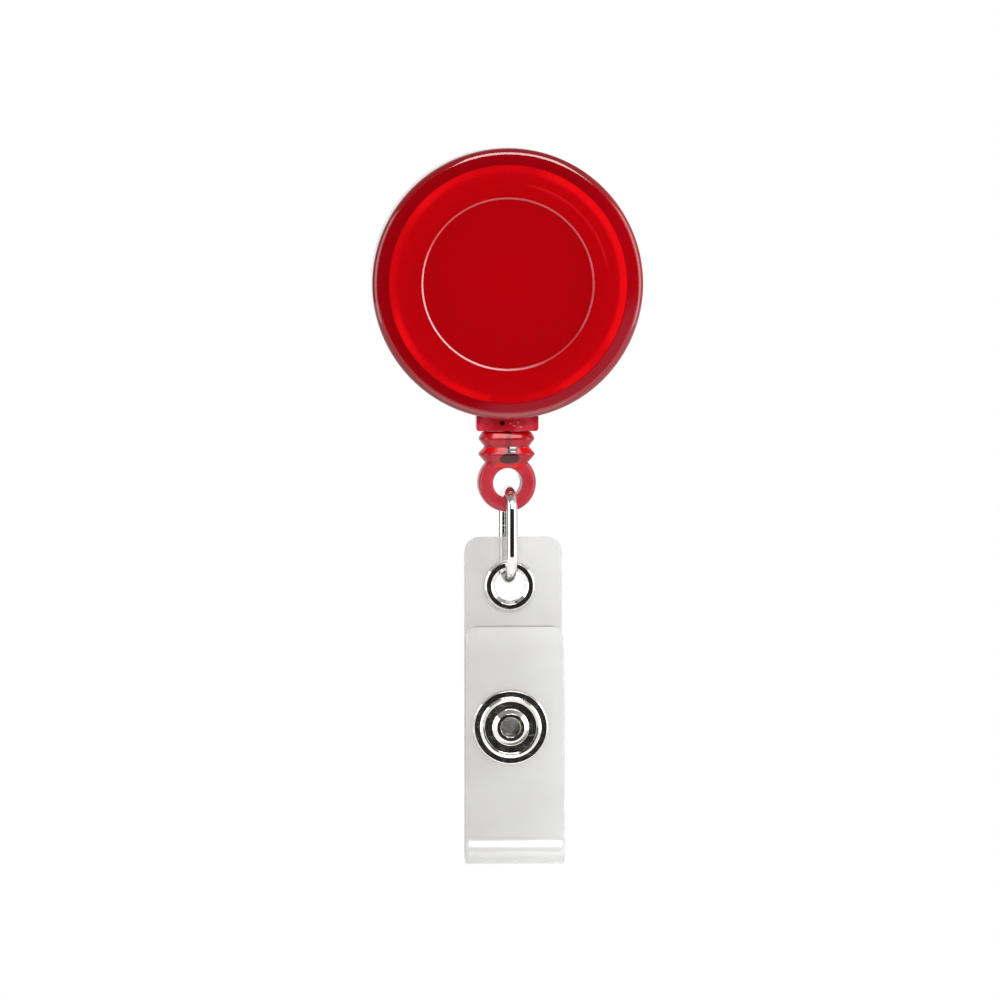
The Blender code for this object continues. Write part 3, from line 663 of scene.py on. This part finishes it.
def strap_look():
    """Frosted PVC: milky and a little cloudy, with painted light that makes it lighter towards its right side,
    on the flap and round the fold, and painted shade along the flap's cut edge.
    """
    look = Look(
        "strap_frosted_pvc",
        Transmission_Weight=0.60,
        IOR=1.42,
        Specular_IOR_Level=0.6,
        Coat_Weight=0.5,
        Coat_Roughness=0.15,
    )
    route = look.route()
    along = look.split(route)["Y"]
    cloud = look.span(look.noise(route, 0.16, 3.0), 0.3, 0.7, 0.0, 0.35)
    # painted light: the strap is lighter towards its right side
    across = look.span(look.split(look.place())["X"], -STRAP_HALF, STRAP_HALF, 0.0, 0.65)
    tone = look.mix(look.math("ADD", cloud, across), (0.60, 0.590, 0.578), (0.76, 0.757, 0.750))
    # painted light: the front flap, from just above the fold, is lighter than the back layer
    tone = look.mix(look.span(along, 42.0, 44.0, 0.0, 0.26), tone, (0.95, 0.95, 0.945))
    # painted light: the fold is lighter round its bend
    painted_fold_light = look.band(along, (37.2, 38.6), (43.5, 42.9, 0.0, 0.35))
    tone = look.mix(painted_fold_light, tone, (0.95, 0.95, 0.95))
    # painted shade: a dark line along the cut edge of the flap
    edge = look.span(along, STRAP_LENGTH - 0.24, STRAP_LENGTH - 0.16, 0.0, 0.6)
    look.drive("Base Color", look.mix(edge, tone, (0.22, 0.21, 0.20)))
    look.drive("Roughness", look.span(look.noise(route, 1.2, 3.0), 0.3, 0.7, 0.11, 0.17))
    look.bump(look.noise(route, 5.0, 2.0), 0.10, 0.008)
    return look.material


CASE_RED = case_look()
FITTING_RED = fitting_look()
SPOOL_RED = moulded_look("spool_red_satin", (0.30, 0.002, 0.006), (0.46, 0.006, 0.010), 0.36)
SPRING_STEEL = metal_look("spring_steel_blued", (0.22, 0.23, 0.27), (0.42, 0.43, 0.46), 0.24, (1.0, 12.0, 1.0))
CORD = cord_look()
NICKEL = metal_look("nickel_polished", (0.84, 0.81, 0.76), (0.93, 0.91, 0.87), 0.04, (0.6, 5.0, 6.0))
LINK_NICKEL = metal_look(
    "nickel_wire", (0.82, 0.79, 0.74), (0.92, 0.90, 0.87), 0.04, (7.0, 0.5, 1.0), uv=True, shade_below=-34.0
)
CLIP_NICKEL = metal_look(
    "nickel_brushed_sheet", (0.70, 0.69, 0.665), (0.76, 0.75, 0.73), 0.15, (9.0, 0.25, 1.0), uv=True
)
RIVET_NICKEL = metal_look("nickel_satin", (0.44, 0.43, 0.41), (0.50, 0.49, 0.47), 0.24, (0.6, 5.0, 6.0))
PVC = strap_look()


# ---------------------------------------------------------------- case
def outlet_half(front, back):
    """One half of the block under the case that the cord leaves through."""
    half = OUTLET_HALF_WIDTH
    outline = rounded(
        [(-half, OUTLET_BOTTOM, 0.4), (half, OUTLET_BOTTOM, 0.4), (half, OUTLET_TOP, 0), (-half, OUTLET_TOP, 0)]
    )
    return prism(outline, front, back)


def outlet_bore():
    """The cord's way out, which widens like a funnel towards the spool."""
    funnel = [(BORE_RADIUS, -15.6), (2 * BORE_RADIUS, OUTLET_TOP), (2.7, -13.7)]
    return rod([(BORE_RADIUS, OUTLET_BOTTOM - 1), *funnel])


def shoulder(face, inward):
    """The round between a cover's face and its side wall, as corners that need no further rounding."""
    turns = [math.radians(7.5 * i) for i in range(13)]
    middle = CASE_RADIUS - CASE_ROUND
    return [
        (middle + CASE_ROUND * math.sin(a), face + inward * CASE_ROUND * (1 - math.cos(a)), 0) for a in turns
    ]


def front_shell():
    outline = rounded(
        [
            (0, FACE + LABEL_DEPTH, 0),
            (LABEL_RADIUS - 0.1, FACE + LABEL_DEPTH, 0.05),
            (LABEL_RADIUS + 0.08, FACE, 0.06),
            *shoulder(FACE, 1),
            (CASE_RADIUS, -SEAM, 0.06),
            (15.1, -SEAM, 0.05),
            (15.1, -1.15, 0.05),
            (CAVITY_RADIUS, -1.15, 0.05),
            (CAVITY_RADIUS, -2.1, 0.2),
            (CAVITY_RADIUS - 1, -3.1, 0.2),
            (0.95, -3.1, 0.1),
            (0.95, -1.2, 0.1),
            (0, -1.2, 0),
        ],
        closed=False,
    )
    shell = make("front_shell", lathe(outline, 192))
    shape(shell, outlet_half(-OUTLET_HALF_DEPTH, -SEAM), "UNION")
    shape(shell, outlet_bore())
    finish(shell, CASE_RED, ["front_cover"], "case")


def rear_shell():
    outline = rounded(
        [
            (1.25, -FACE, 0.1),
            (8.6, -FACE, 0.1),
            (8.8, -FACE - 0.2, 0.1),
            (9.6, -FACE - 0.2, 0.1),
            (9.8, -FACE, 0.1),
            *shoulder(-FACE, -1),
            (CASE_RADIUS, SEAM, 0.06),
            (14.8, SEAM, 0.02),
            (14.8, -0.7, 0.05),
            (CAVITY_RADIUS, -0.7, 0.05),
            (CAVITY_RADIUS, 2.1, 0.2),
            (CAVITY_RADIUS - 1, 3.1, 0.2),
            (2.0, 3.1, 0.15),
            (2.0, -2.85, 0.1),
            (1.25, -2.85, 0.1),
        ]
    )
    shell = make("rear_shell", lathe(outline, 192))
    shape(shell, outlet_half(SEAM, OUTLET_HALF_DEPTH), "UNION")
    shape(shell, outlet_bore())
    shape(shell, block((0.5, -4, -0.3), (3, 2.6, 0.3)))
    finish(shell, CASE_RED, ["rear_cover"], "case")


# ---------------------------------------------------------------- spool and cord
def spool_drum():
    outline = rounded(
        [
            (2.3, -2.6, 0.1),
            (13.3, -2.6, 0.15),
            (13.3, -1.8, 0.15),
            (10.1, -1.8, 0.1),
            (10.1, 1.8, 0.1),
            (13.3, 1.8, 0.15),
            (13.3, 2.6, 0.15),
            (9.2, 2.6, 0.1),
            (9.2, -1.8, 0.2),
            (2.3, -1.8, 0.1),
        ]
    )
    drum = make("spool_drum", lathe(outline, 144))
    shape(drum, block((8.6, -1.7, -0.3), (10.25, 3.2, 0.3)))
    shape(drum, plug(0.95, 32), place=CORD_ANCHOR)
    finish(drum, SPOOL_RED, ["spool"], "spool_set")


def spiral_spring():
    """A flat spiral whose ends are hooked in the post and in the drum."""
    turns = 10
    route = [Vector((1.5, 0, 0))]
    for i in range(turns * 48 + 1):
        part = i / (turns * 48)
        radius = 2.45 + 6.4 * part**0.8
        angle = 2 * math.pi * turns * part
        route.append(Vector((radius * math.cos(angle), 0, radius * math.sin(angle))))
    route.append(Vector((9.8, 0, 0)))
    section = rounded([(-1.8, -0.1, 0.05), (1.8, -0.1, 0.05), (1.8, 0.1, 0.05), (-1.8, 0.1, 0.05)], steps=2)
    spring = make("spiral_spring", sweep(route, section), (0, 0.4, 0))
    finish(spring, SPRING_STEEL, ["power_spring"], "spool_set")


def wound_cord():
    """Twelve turns in three layers of four, from the hole in the flange to where the cord leaves the drum."""
    start = math.pi / 2
    leave = math.radians(-64.7)
    turns = 12
    total = 2 * math.pi * turns - (leave - start) % (2 * math.pi) + 2 * math.pi
    count = 12 * 72
    route = []
    for i in range(count + 1):
        turn = turns * i / count
        whole = min(int(turn), turns - 1)
        shift = ease((turn - whole - 0.82) / 0.18)
        spot = whole + shift
        layer, column = divmod(whole, 4)
        after_layer, after_column = divmod(min(whole + 1, turns - 1), 4)
        y = (-1.2 + 0.8 * column) * (1 if layer % 2 == 0 else -1)
        after_y = (-1.2 + 0.8 * after_column) * (1 if after_layer % 2 == 0 else -1)
        y += (after_y - y) * shift
        radius = 10.52 + 0.72 * (layer + (after_layer - layer) * shift)
        angle = start - total * i / count
        radius += 0.9 * ease((spot - 11.9) * 10)
        y *= 1 - ease((spot - 11.9) * 10)
        route.append(Vector((radius * math.cos(angle), y, radius * math.sin(angle))))
    cord = make("wound_cord", sweep(route, circle(CORD_RADIUS, 10)), smooth=180)
    finish(cord, CORD, ["cord_winding"], "spool_set")


def knot(name, size, place, turn, nodes, body):
    """A small overhand knot pulled tight."""
    route = []
    for i in range(97):
        t = 2 * math.pi * i / 96
        route.append(
            Vector(
                (
                    size[0] * (math.sin(t) + 2 * math.sin(2 * t)) / 3,
                    size[1] * -math.sin(3 * t),
                    size[2] * (math.cos(t) - 2 * math.cos(2 * t)) / 3,
                )
            )
        )
    tied = make(name, sweep(route[:-1], circle(CORD_RADIUS * 0.9, 12), closed=True), place, turn, smooth=180)
    finish(tied, CORD, nodes, body)


def feed_cord():
    route = [
        (5.60, 0, -11.85),
        (4.00, 0, -12.68),
        (2.40, 0, -13.38),
        (1.00, 0, -14.02),
        (0.25, 0, -14.68),
        (0, 0, -15.30),
        (0, 0, -15.80),
    ]
    cord = make("feed_cord", sweep(smooth_route(route, 8), circle(CORD_RADIUS, 16)), smooth=180)
    finish(cord, CORD, ["cord_feed"], "case")


def lead_cord():
    """The straight cord from the outlet to the fitting. The real cord grows longer when it is pulled."""
    top, low = -15.85, KNOT.z + 0.3
    route = [Vector((0, 0, top + (low - top) * i / 24)) for i in range(25)]
    cord = make("lead_cord", sweep(route, circle(CORD_RADIUS, 16)), smooth=180)
    finish(cord, CORD, ["cord_lead"])
    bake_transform(cord)


# ---------------------------------------------------------------- end fitting and link
def end_piece():
    """A ribbed neck over a flat eye, with the knot's pocket open at the back and two slits in front."""
    ribs = [
        (2.62, -17.54, 0),
        (2.95, -17.72, 0.2),
        (3.29, -18.34, 0.3),
        (3.29, -18.58, 0.3),
        (2.66, -19.42, 0.15),
        (3.33, -20.18, 0.3),
        (3.33, -20.42, 0.3),
        (2.55, -21.32, 0.2),
        (2.20, -21.90, 0),
    ]
    loops = []
    profile = firm(rounded(ribs, closed=False, steps=5))[:-2]  # without the closing side that firm() adds
    for width, height in profile:
        depth = width * 0.62
        corners = [(-width, -depth, 2.0), (width, -depth, 2.0), (width, depth, 2.0), (-width, depth, 2.0)]
        loops.append([Vector((x, y, height)) for x, y in rounded(corners, steps=7)])
    piece = make("cord_end_piece", bridge(loops), turn=TILT)
    eye = [(EYE_HOLE, -1.2, 0.35), (EYE_RADIUS, -1.2, 0.75), (EYE_RADIUS, 1.2, 0.75), (EYE_HOLE, 1.2, 0.35)]
    shape(piece, lathe(rounded(eye, steps=7), 120), "UNION", (0, 0, EYE_HEIGHT), TILT)
    shape(piece, block((-1.45, -1.0, -21.35), (1.45, 4, -19.3)), turn=TILT)
    for low, high in ((-20.06, -19.85), (-19.61, -19.38)):
        shape(piece, block((-0.15, -4, low), (0.95, 0, high)), turn=TILT)
    shape(piece, rod([(BORE_RADIUS, -20), (BORE_RADIUS, OUTLET_BOTTOM + 1)]), turn=TILT, smooth=28)
    finish(piece, FITTING_RED, ["end_fitting"], "fitting")


def wire_ring():
    """An oval ring of round wire, with the hairline of its butt joint in the rear strand."""
    route = []
    for height, start in ((LINK_TOP, 0), (LINK_BOTTOM, 180)):
        for turn in range(0, 181, 5):
            a = math.radians(start + turn)
            route.append(Vector((0, LINK_BEND * math.cos(a), height + LINK_BEND * math.sin(a))))
        side = -1 if start == 0 else 1
        span = LINK_TOP - LINK_BOTTOM
        for i in range(1, 12):
            z = height - span * i / 12 if start == 0 else height + span * i / 12
            route.append(Vector((0, side * LINK_BEND, z)))
    wire = sweep(route, circle(WIRE_RADIUS, 32), side=X, closed=True)
    ring = make("wire_ring", wire, (LINK_X, 0, 0), TILT, 180)
    joint = rod([(1.2, -0.025), (1.2, 0.025)])
    rear_strand = (LINK_X - LINK_BEND * math.sin(TILT), LINK_BEND * math.cos(TILT), -29.0)
    shape(ring, joint, place=rear_strand, turn=TILT)
    finish(ring, LINK_NICKEL, ["wire_link"], "link")


# ---------------------------------------------------------------- strap and its hardware
def strap():
    """One strip of PVC: the back layer, the fold and the front flap."""
    sheet = strip(STRAP_ROUTE, STRAP_HALF, SHEET, (1.8, 1.6), 0.12, 0.3, 24)
    # the cut isn't quite parallel: its right edge runs out a little towards the fold
    for vert in sheet.verts:
        if vert.co.x > 0:
            vert.co.x *= 1 + 0.035 * ease((-38.0 - vert.co.z) / 12)
    piece = make("strap", sheet, (STRAP_X, 0, 0))
    for radius, spot in ((EYELET_HOLE, EYELET), (SNAP_HOLE, SNAP), (SNAP_HOLE, SNAP + Y * FLAP_Y)):
        shape(piece, plug(radius, 64), place=spot)
    finish(piece, PVC, ["strap_back", "strap_flap"])
    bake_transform(piece)


def eyelet_parts():
    face = -SHEET / 2 - 0.02
    tail = SHEET / 2 + 0.62
    outline = rounded(
        [
            (1.86, tail, 0.05),
            (1.80, tail - 0.15, 0.05),
            (1.80, face, 0.2),
            (1.90, face - 0.24, 0.12),
            (2.22, face - 0.50, 0.07),
            (2.79, face - 0.50, 0.07),
            (3.0, face - 0.22, 0.12),
            (3.08, face, 0.05),
            (2.05, face, 0),
            (2.05, tail - 0.17, 0.05),
            (2.75, tail - 0.17, 0.1),
            (2.45, tail, 0.1),
        ],
        steps=6,
    )
    finish(make("eyelet_ring", lathe(outline, 128), EYELET), NICKEL, ["eyelet"], "strap")
    face = SHEET / 2 + 0.02
    outline = rounded([(2.2, face, 0.05), (3.15, face, 0.05), (3.0, face + 0.3, 0.1), (2.2, face + 0.3, 0.05)])
    washer = make("eyelet_collar", lathe(outline, 128), EYELET)
    finish(washer, NICKEL, ["eyelet_washer"], "strap")


def snap_parts():
    """The five pieces of the press snap, from the front to the back."""
    front = SNAP + Y * FLAP_Y
    face = -SHEET / 2 - 0.02
    inner = SHEET / 2 + 0.02
    cap = [
        (1.14, 0.9, 0.05),
        (1.14, face - 0.45, 0.05),
        (1.20, face - 0.56, 0.03),
        (1.64, face - 0.56, 0.05),
        (1.96, face - 0.28, 0.06),
        (2.16, face - 0.12, 0.10),
        (3.10, face - 0.12, 0.06),
        (3.36, face - 0.44, 0.10),
        (3.63, face - 0.26, 0.06),
        (4.30, face - 0.26, 0.05),
        (4.5, face, 0.04),
        (1.3, face, 0),
        (1.3, 0.9, 0.05),
    ]
    socket = [
        (1.45, inner, 0),
        (4.0, inner, 0.1),
        (4.0, inner + 0.35, 0.15),
        (3.0, inner + 0.35, 0.15),
        (2.7, inner + 1.3, 0.2),
        (1.95, inner + 1.3, 0.1),
        (1.95, inner + 1.0, 0.05),
        (2.45, inner + 1.0, 0.05),
        (2.45, inner + 0.35, 0.1),
        (1.45, inner + 0.35, 0.05),
    ]
    stud = [
        (0.9, face, 0),
        (3.6, face, 0.1),
        (3.6, face - 0.3, 0.12),
        (1.5, face - 0.3, 0.1),
        (1.35, face - 0.6, 0.15),
        (1.6, face - 0.9, 0.15),
        (1.4, face - 1.2, 0.15),
        (0.9, face - 1.2, 0.1),
    ]
    post = [
        (0, face - 1.36, 0),
        (1.02, face - 1.36, 0.03),
        (1.10, face - 1.28, 0.03),
        (1.06, face - 1.23, 0),
        (0.65, face - 1.23, 0.02),
        (0.65, inner, 0),
        (4.2, inner, 0.05),
        (4.1, inner + 0.3, 0.15),
        (3.2, inner + 0.55, 0.3),
        (1.2, inner + 0.6, 0.1),
        (0.8, inner + 0.25, 0.1),
        (0, inner + 0.15, 0),
    ]
    rows = (
        ("snap_ring_cap", cap, front, NICKEL, "snap_cap", "flap"),
        ("snap_cup", socket, front, NICKEL, "snap_socket", "flap"),
        ("snap_button", stud, SNAP, NICKEL, "snap_stud", "strap"),
        ("snap_rear_disc", post, SNAP, RIVET_NICKEL, "snap_post", "strap"),
    )
    for name, outline, place, look, node, body in rows:
        closed = name != "snap_rear_disc"
        part = make(name, lathe(rounded(outline, closed, steps=8), 144), place)
        finish(part, look, [node], body)
    turns = [math.radians(20 + 320 * i / 60) for i in range(61)]
    route = [Vector((2.05 * math.cos(a), inner + 0.68, 2.05 * math.sin(a))) for a in turns]
    wire = make("snap_wire", sweep(route, circle(0.18, 12)), front, smooth=180)
    finish(wire, SPRING_STEEL, ["snap_socket_spring"], "flap")


# ---------------------------------------------------------------- belt clip
def clip_parts():
    """The riveted leg with its bend, the sprung tongue with its pressed rib, and the rivet."""
    middle = ((CLIP_BASE_Y + CLIP_TONGUE_Y) / 2, CLIP_SHOULDER)
    bend = arc(middle, (CLIP_TONGUE_Y - CLIP_BASE_Y) / 2, 180, 0, 32)
    plate = strip([Vector((CLIP_BASE_Y, CLIP_LEG_END)), *bend], CLIP_HALF, CLIP_SHEET, (3.0, 0.05), 0.1, 0.4)
    leg = make("clip_leg_plate", plate)
    shape(leg, plug(RIVET_HOLE, 48), place=(0, CLIP_BASE_Y, 0))
    finish(leg, CLIP_NICKEL, ["belt_clip"], "case")

    route = [
        (CLIP_TONGUE_Y, CLIP_SHOULDER - 0.04, 0),
        (9.12, 8.0, 0),
        (8.30, 3.0, 0),
        (7.25, -2.5, 0),
        (6.28, -6.2, 0),
        (6.32, -7.1, 0),
        (6.90, -8.1, 0),
        (7.90, -9.0, 0),
    ]
    curve = [Vector((p.x, p.y)) for p in smooth_route(route, 10)]

    def rib(across, distance):
        """A shallow rib pressed into the middle of the tongue."""
        length = ease((distance - 2.5) / 1.6) * ease((13.5 - distance) / 1.6)
        return -RIB_DEPTH * length * ease((2.2 - abs(across)) / 0.6)

    tongue = make("clip_spring_tongue", strip(curve, CLIP_HALF, CLIP_SHEET, (0.05, 4.0), 0.1, 0.25, 44, rib))
    finish(tongue, CLIP_NICKEL, ["clip_tongue"], "clip_leg")

    head = CLIP_BASE_Y + CLIP_SHEET / 2 + 0.02
    outline = rounded(
        [
            (0, 0.3, 0),
            (0.95, 0.3, 0.1),
            (0.95, head, 0),
            (2.4, head, 0.05),
            (2.3, head + 0.4, 0.25),
            (1.4, head + 0.78, 0.6),
            (0, head + 0.85, 0),
        ],
        closed=False,
        steps=6,
    )
    finish(make("clip_rivet_head", lathe(outline, 96)), NICKEL, ["clip_rivet"], "case")


# ---------------------------------------------------------------- studio, in metres
AIM = REEL + Vector((-0.77, 0, -25.8)) * MM  # what the camera and the lights face
CAMERA_AZIMUTH = -2.6
CAMERA_ELEVATION = 4.4
CAMERA_DISTANCE = 0.7
VIEW_WIDTH = 0.1188
SOFTBOX_DISTANCE = 0.5
SIDE_LEFT = 0.28
SIDE_RIGHT = 0.65
ROOM_DARK = 0.04
FLOOR_DROP = -0.98
FLOOR_SIZE = 10.0
FLOOR_GLOW = 0.6


def stand(name, data, azimuth, elevation, distance):
    """Set a camera or a light round the aim, facing it. Azimuth 0 is in front, and positive is to the right."""
    turn, tilt = math.radians(azimuth), math.radians(elevation)
    towards = Vector((math.sin(turn) * math.cos(tilt), -math.cos(turn) * math.cos(tilt), math.sin(tilt)))
    placed = bpy.data.objects.new(name, data)
    placed.location = AIM + towards * distance
    placed.rotation_euler = towards.to_track_quat("Z", "Y").to_euler()
    bpy.context.collection.objects.link(placed)
    return placed


def softbox(name, azimuth, elevation, size, power):
    """A soft rectangular light that faces the reel."""
    light = bpy.data.lights.new(name, "AREA")
    light.shape = "RECTANGLE"
    light.size, light.size_y = size
    light.energy = power
    stand(name, light, azimuth, elevation, SOFTBOX_DISTANCE)


def studio_world():
    """White behind the reel, pale beside it, and the dark of the room where the camera stands."""
    world = bpy.data.worlds.new("studio")
    world.use_nodes = True
    tree = world.node_tree
    tree.nodes.clear()
    link = tree.links.new
    direction = tree.nodes.new("ShaderNodeTexCoord").outputs["Generated"]

    def towards(axis, low, high, start, end):
        """A brightness that goes from start to end as the direction turns towards an axis."""
        dot = tree.nodes.new("ShaderNodeVectorMath")
        dot.operation = "DOT_PRODUCT"
        link(direction, dot.inputs[0])
        dot.inputs[1].default_value = Vector(axis).normalized()
        step = tree.nodes.new("ShaderNodeMapRange")
        step.interpolation_type = "SMOOTHSTEP"
        link(dot.outputs["Value"], step.inputs["Value"])
        for key, value in (("From Min", low), ("From Max", high), ("To Min", start), ("To Max", end)):
            step.inputs[key].default_value = value
        return step.outputs[0]

    def join(operation, a, b):
        node = tree.nodes.new("ShaderNodeMath")
        node.operation = operation
        link(a, node.inputs[0])
        link(b, node.inputs[1])
        return node.outputs[0]

    beside = towards((1, 0, -0.8), -0.5, 0.5, SIDE_LEFT, SIDE_RIGHT)
    straight = towards((0, 1, 0), 0.84, 0.95, 0.0, 1.0)
    upper_left = towards((-0.5, 1, 0.6), 0.70, 0.90, 0.0, 1.0)
    behind = join("MAXIMUM", straight, upper_left)
    room = join("MAXIMUM", beside, behind)
    room = join("MULTIPLY", room, towards((0, -1, -0.12), 0.66, 0.88, 1.0, ROOM_DARK))
    rays = tree.nodes.new("ShaderNodeLightPath")
    seen = tree.nodes.new("ShaderNodeMix")
    seen.data_type = "FLOAT"
    link(rays.outputs["Is Camera Ray"], seen.inputs[0])
    link(room, seen.inputs[2])
    seen.inputs[3].default_value = 1.0
    background = tree.nodes.new("ShaderNodeBackground")
    background.inputs["Color"].default_value = (1, 1, 1, 1)
    link(seen.outputs[0], background.inputs["Strength"])
    output = tree.nodes.new("ShaderNodeOutputWorld")
    link(background.outputs[0], output.inputs["Surface"])
    bpy.context.scene.world = world


def floor():
    """A pale floor below the lowest point that the cord lets the badge reach."""
    bm = bmesh.new()
    bmesh.ops.create_grid(bm, x_segments=8, y_segments=8, size=FLOOR_SIZE / 2 / MM)
    plane = make("floor", bm, (0, 0, FLOOR_DROP / MM))
    look = Look("floor_white", Roughness=0.9)
    cloud = look.noise(look.place(), 0.002, 2.0)
    look.drive("Base Color", look.mix(cloud, (0.90, 0.90, 0.90), (0.94, 0.94, 0.94)))
    look.shader.inputs["Emission Color"].default_value = (1, 1, 1, 1)
    look.shader.inputs["Emission Strength"].default_value = FLOOR_GLOW
    plane.data.materials.append(look.material)


def camera():
    data = bpy.data.cameras.new("camera")
    data.sensor_width = 36
    data.lens = data.sensor_width * CAMERA_DISTANCE / VIEW_WIDTH
    data.clip_start = 0.01
    data.clip_end = 100
    bpy.context.scene.camera = stand("camera", data, CAMERA_AZIMUTH, CAMERA_ELEVATION, CAMERA_DISTANCE)


# ---------------------------------------------------------------- the whole reel
camera()
front_shell()
rear_shell()
spool_drum()
spiral_spring()
wound_cord()
knot("anchor_knot", (0.45, 0.25, 0.45), CORD_ANCHOR, 0, ["cord_anchor_knot"], "spool_set")
knot("end_knot", (0.85, 0.35, 0.42), KNOT, TILT, ["cord_end_knot"], "fitting")
feed_cord()
lead_cord()
end_piece()
wire_ring()
strap()
eyelet_parts()
snap_parts()
clip_parts()

studio_world()
floor()
softbox("softbox_left", -70, 8, (0.30, 0.45), 1.3)
softbox("softbox_right", 68, 8, (0.30, 0.45), 1.5)
softbox("softbox_top", 8, 41, (0.32, 0.26), 2.9)
softbox("softbox_low", -5, -52, (0.50, 0.40), 0.7)

scene = bpy.context.scene
scene.view_settings.view_transform = "Standard"
scene.view_settings.look = "None"
scene.cycles.use_denoising = True
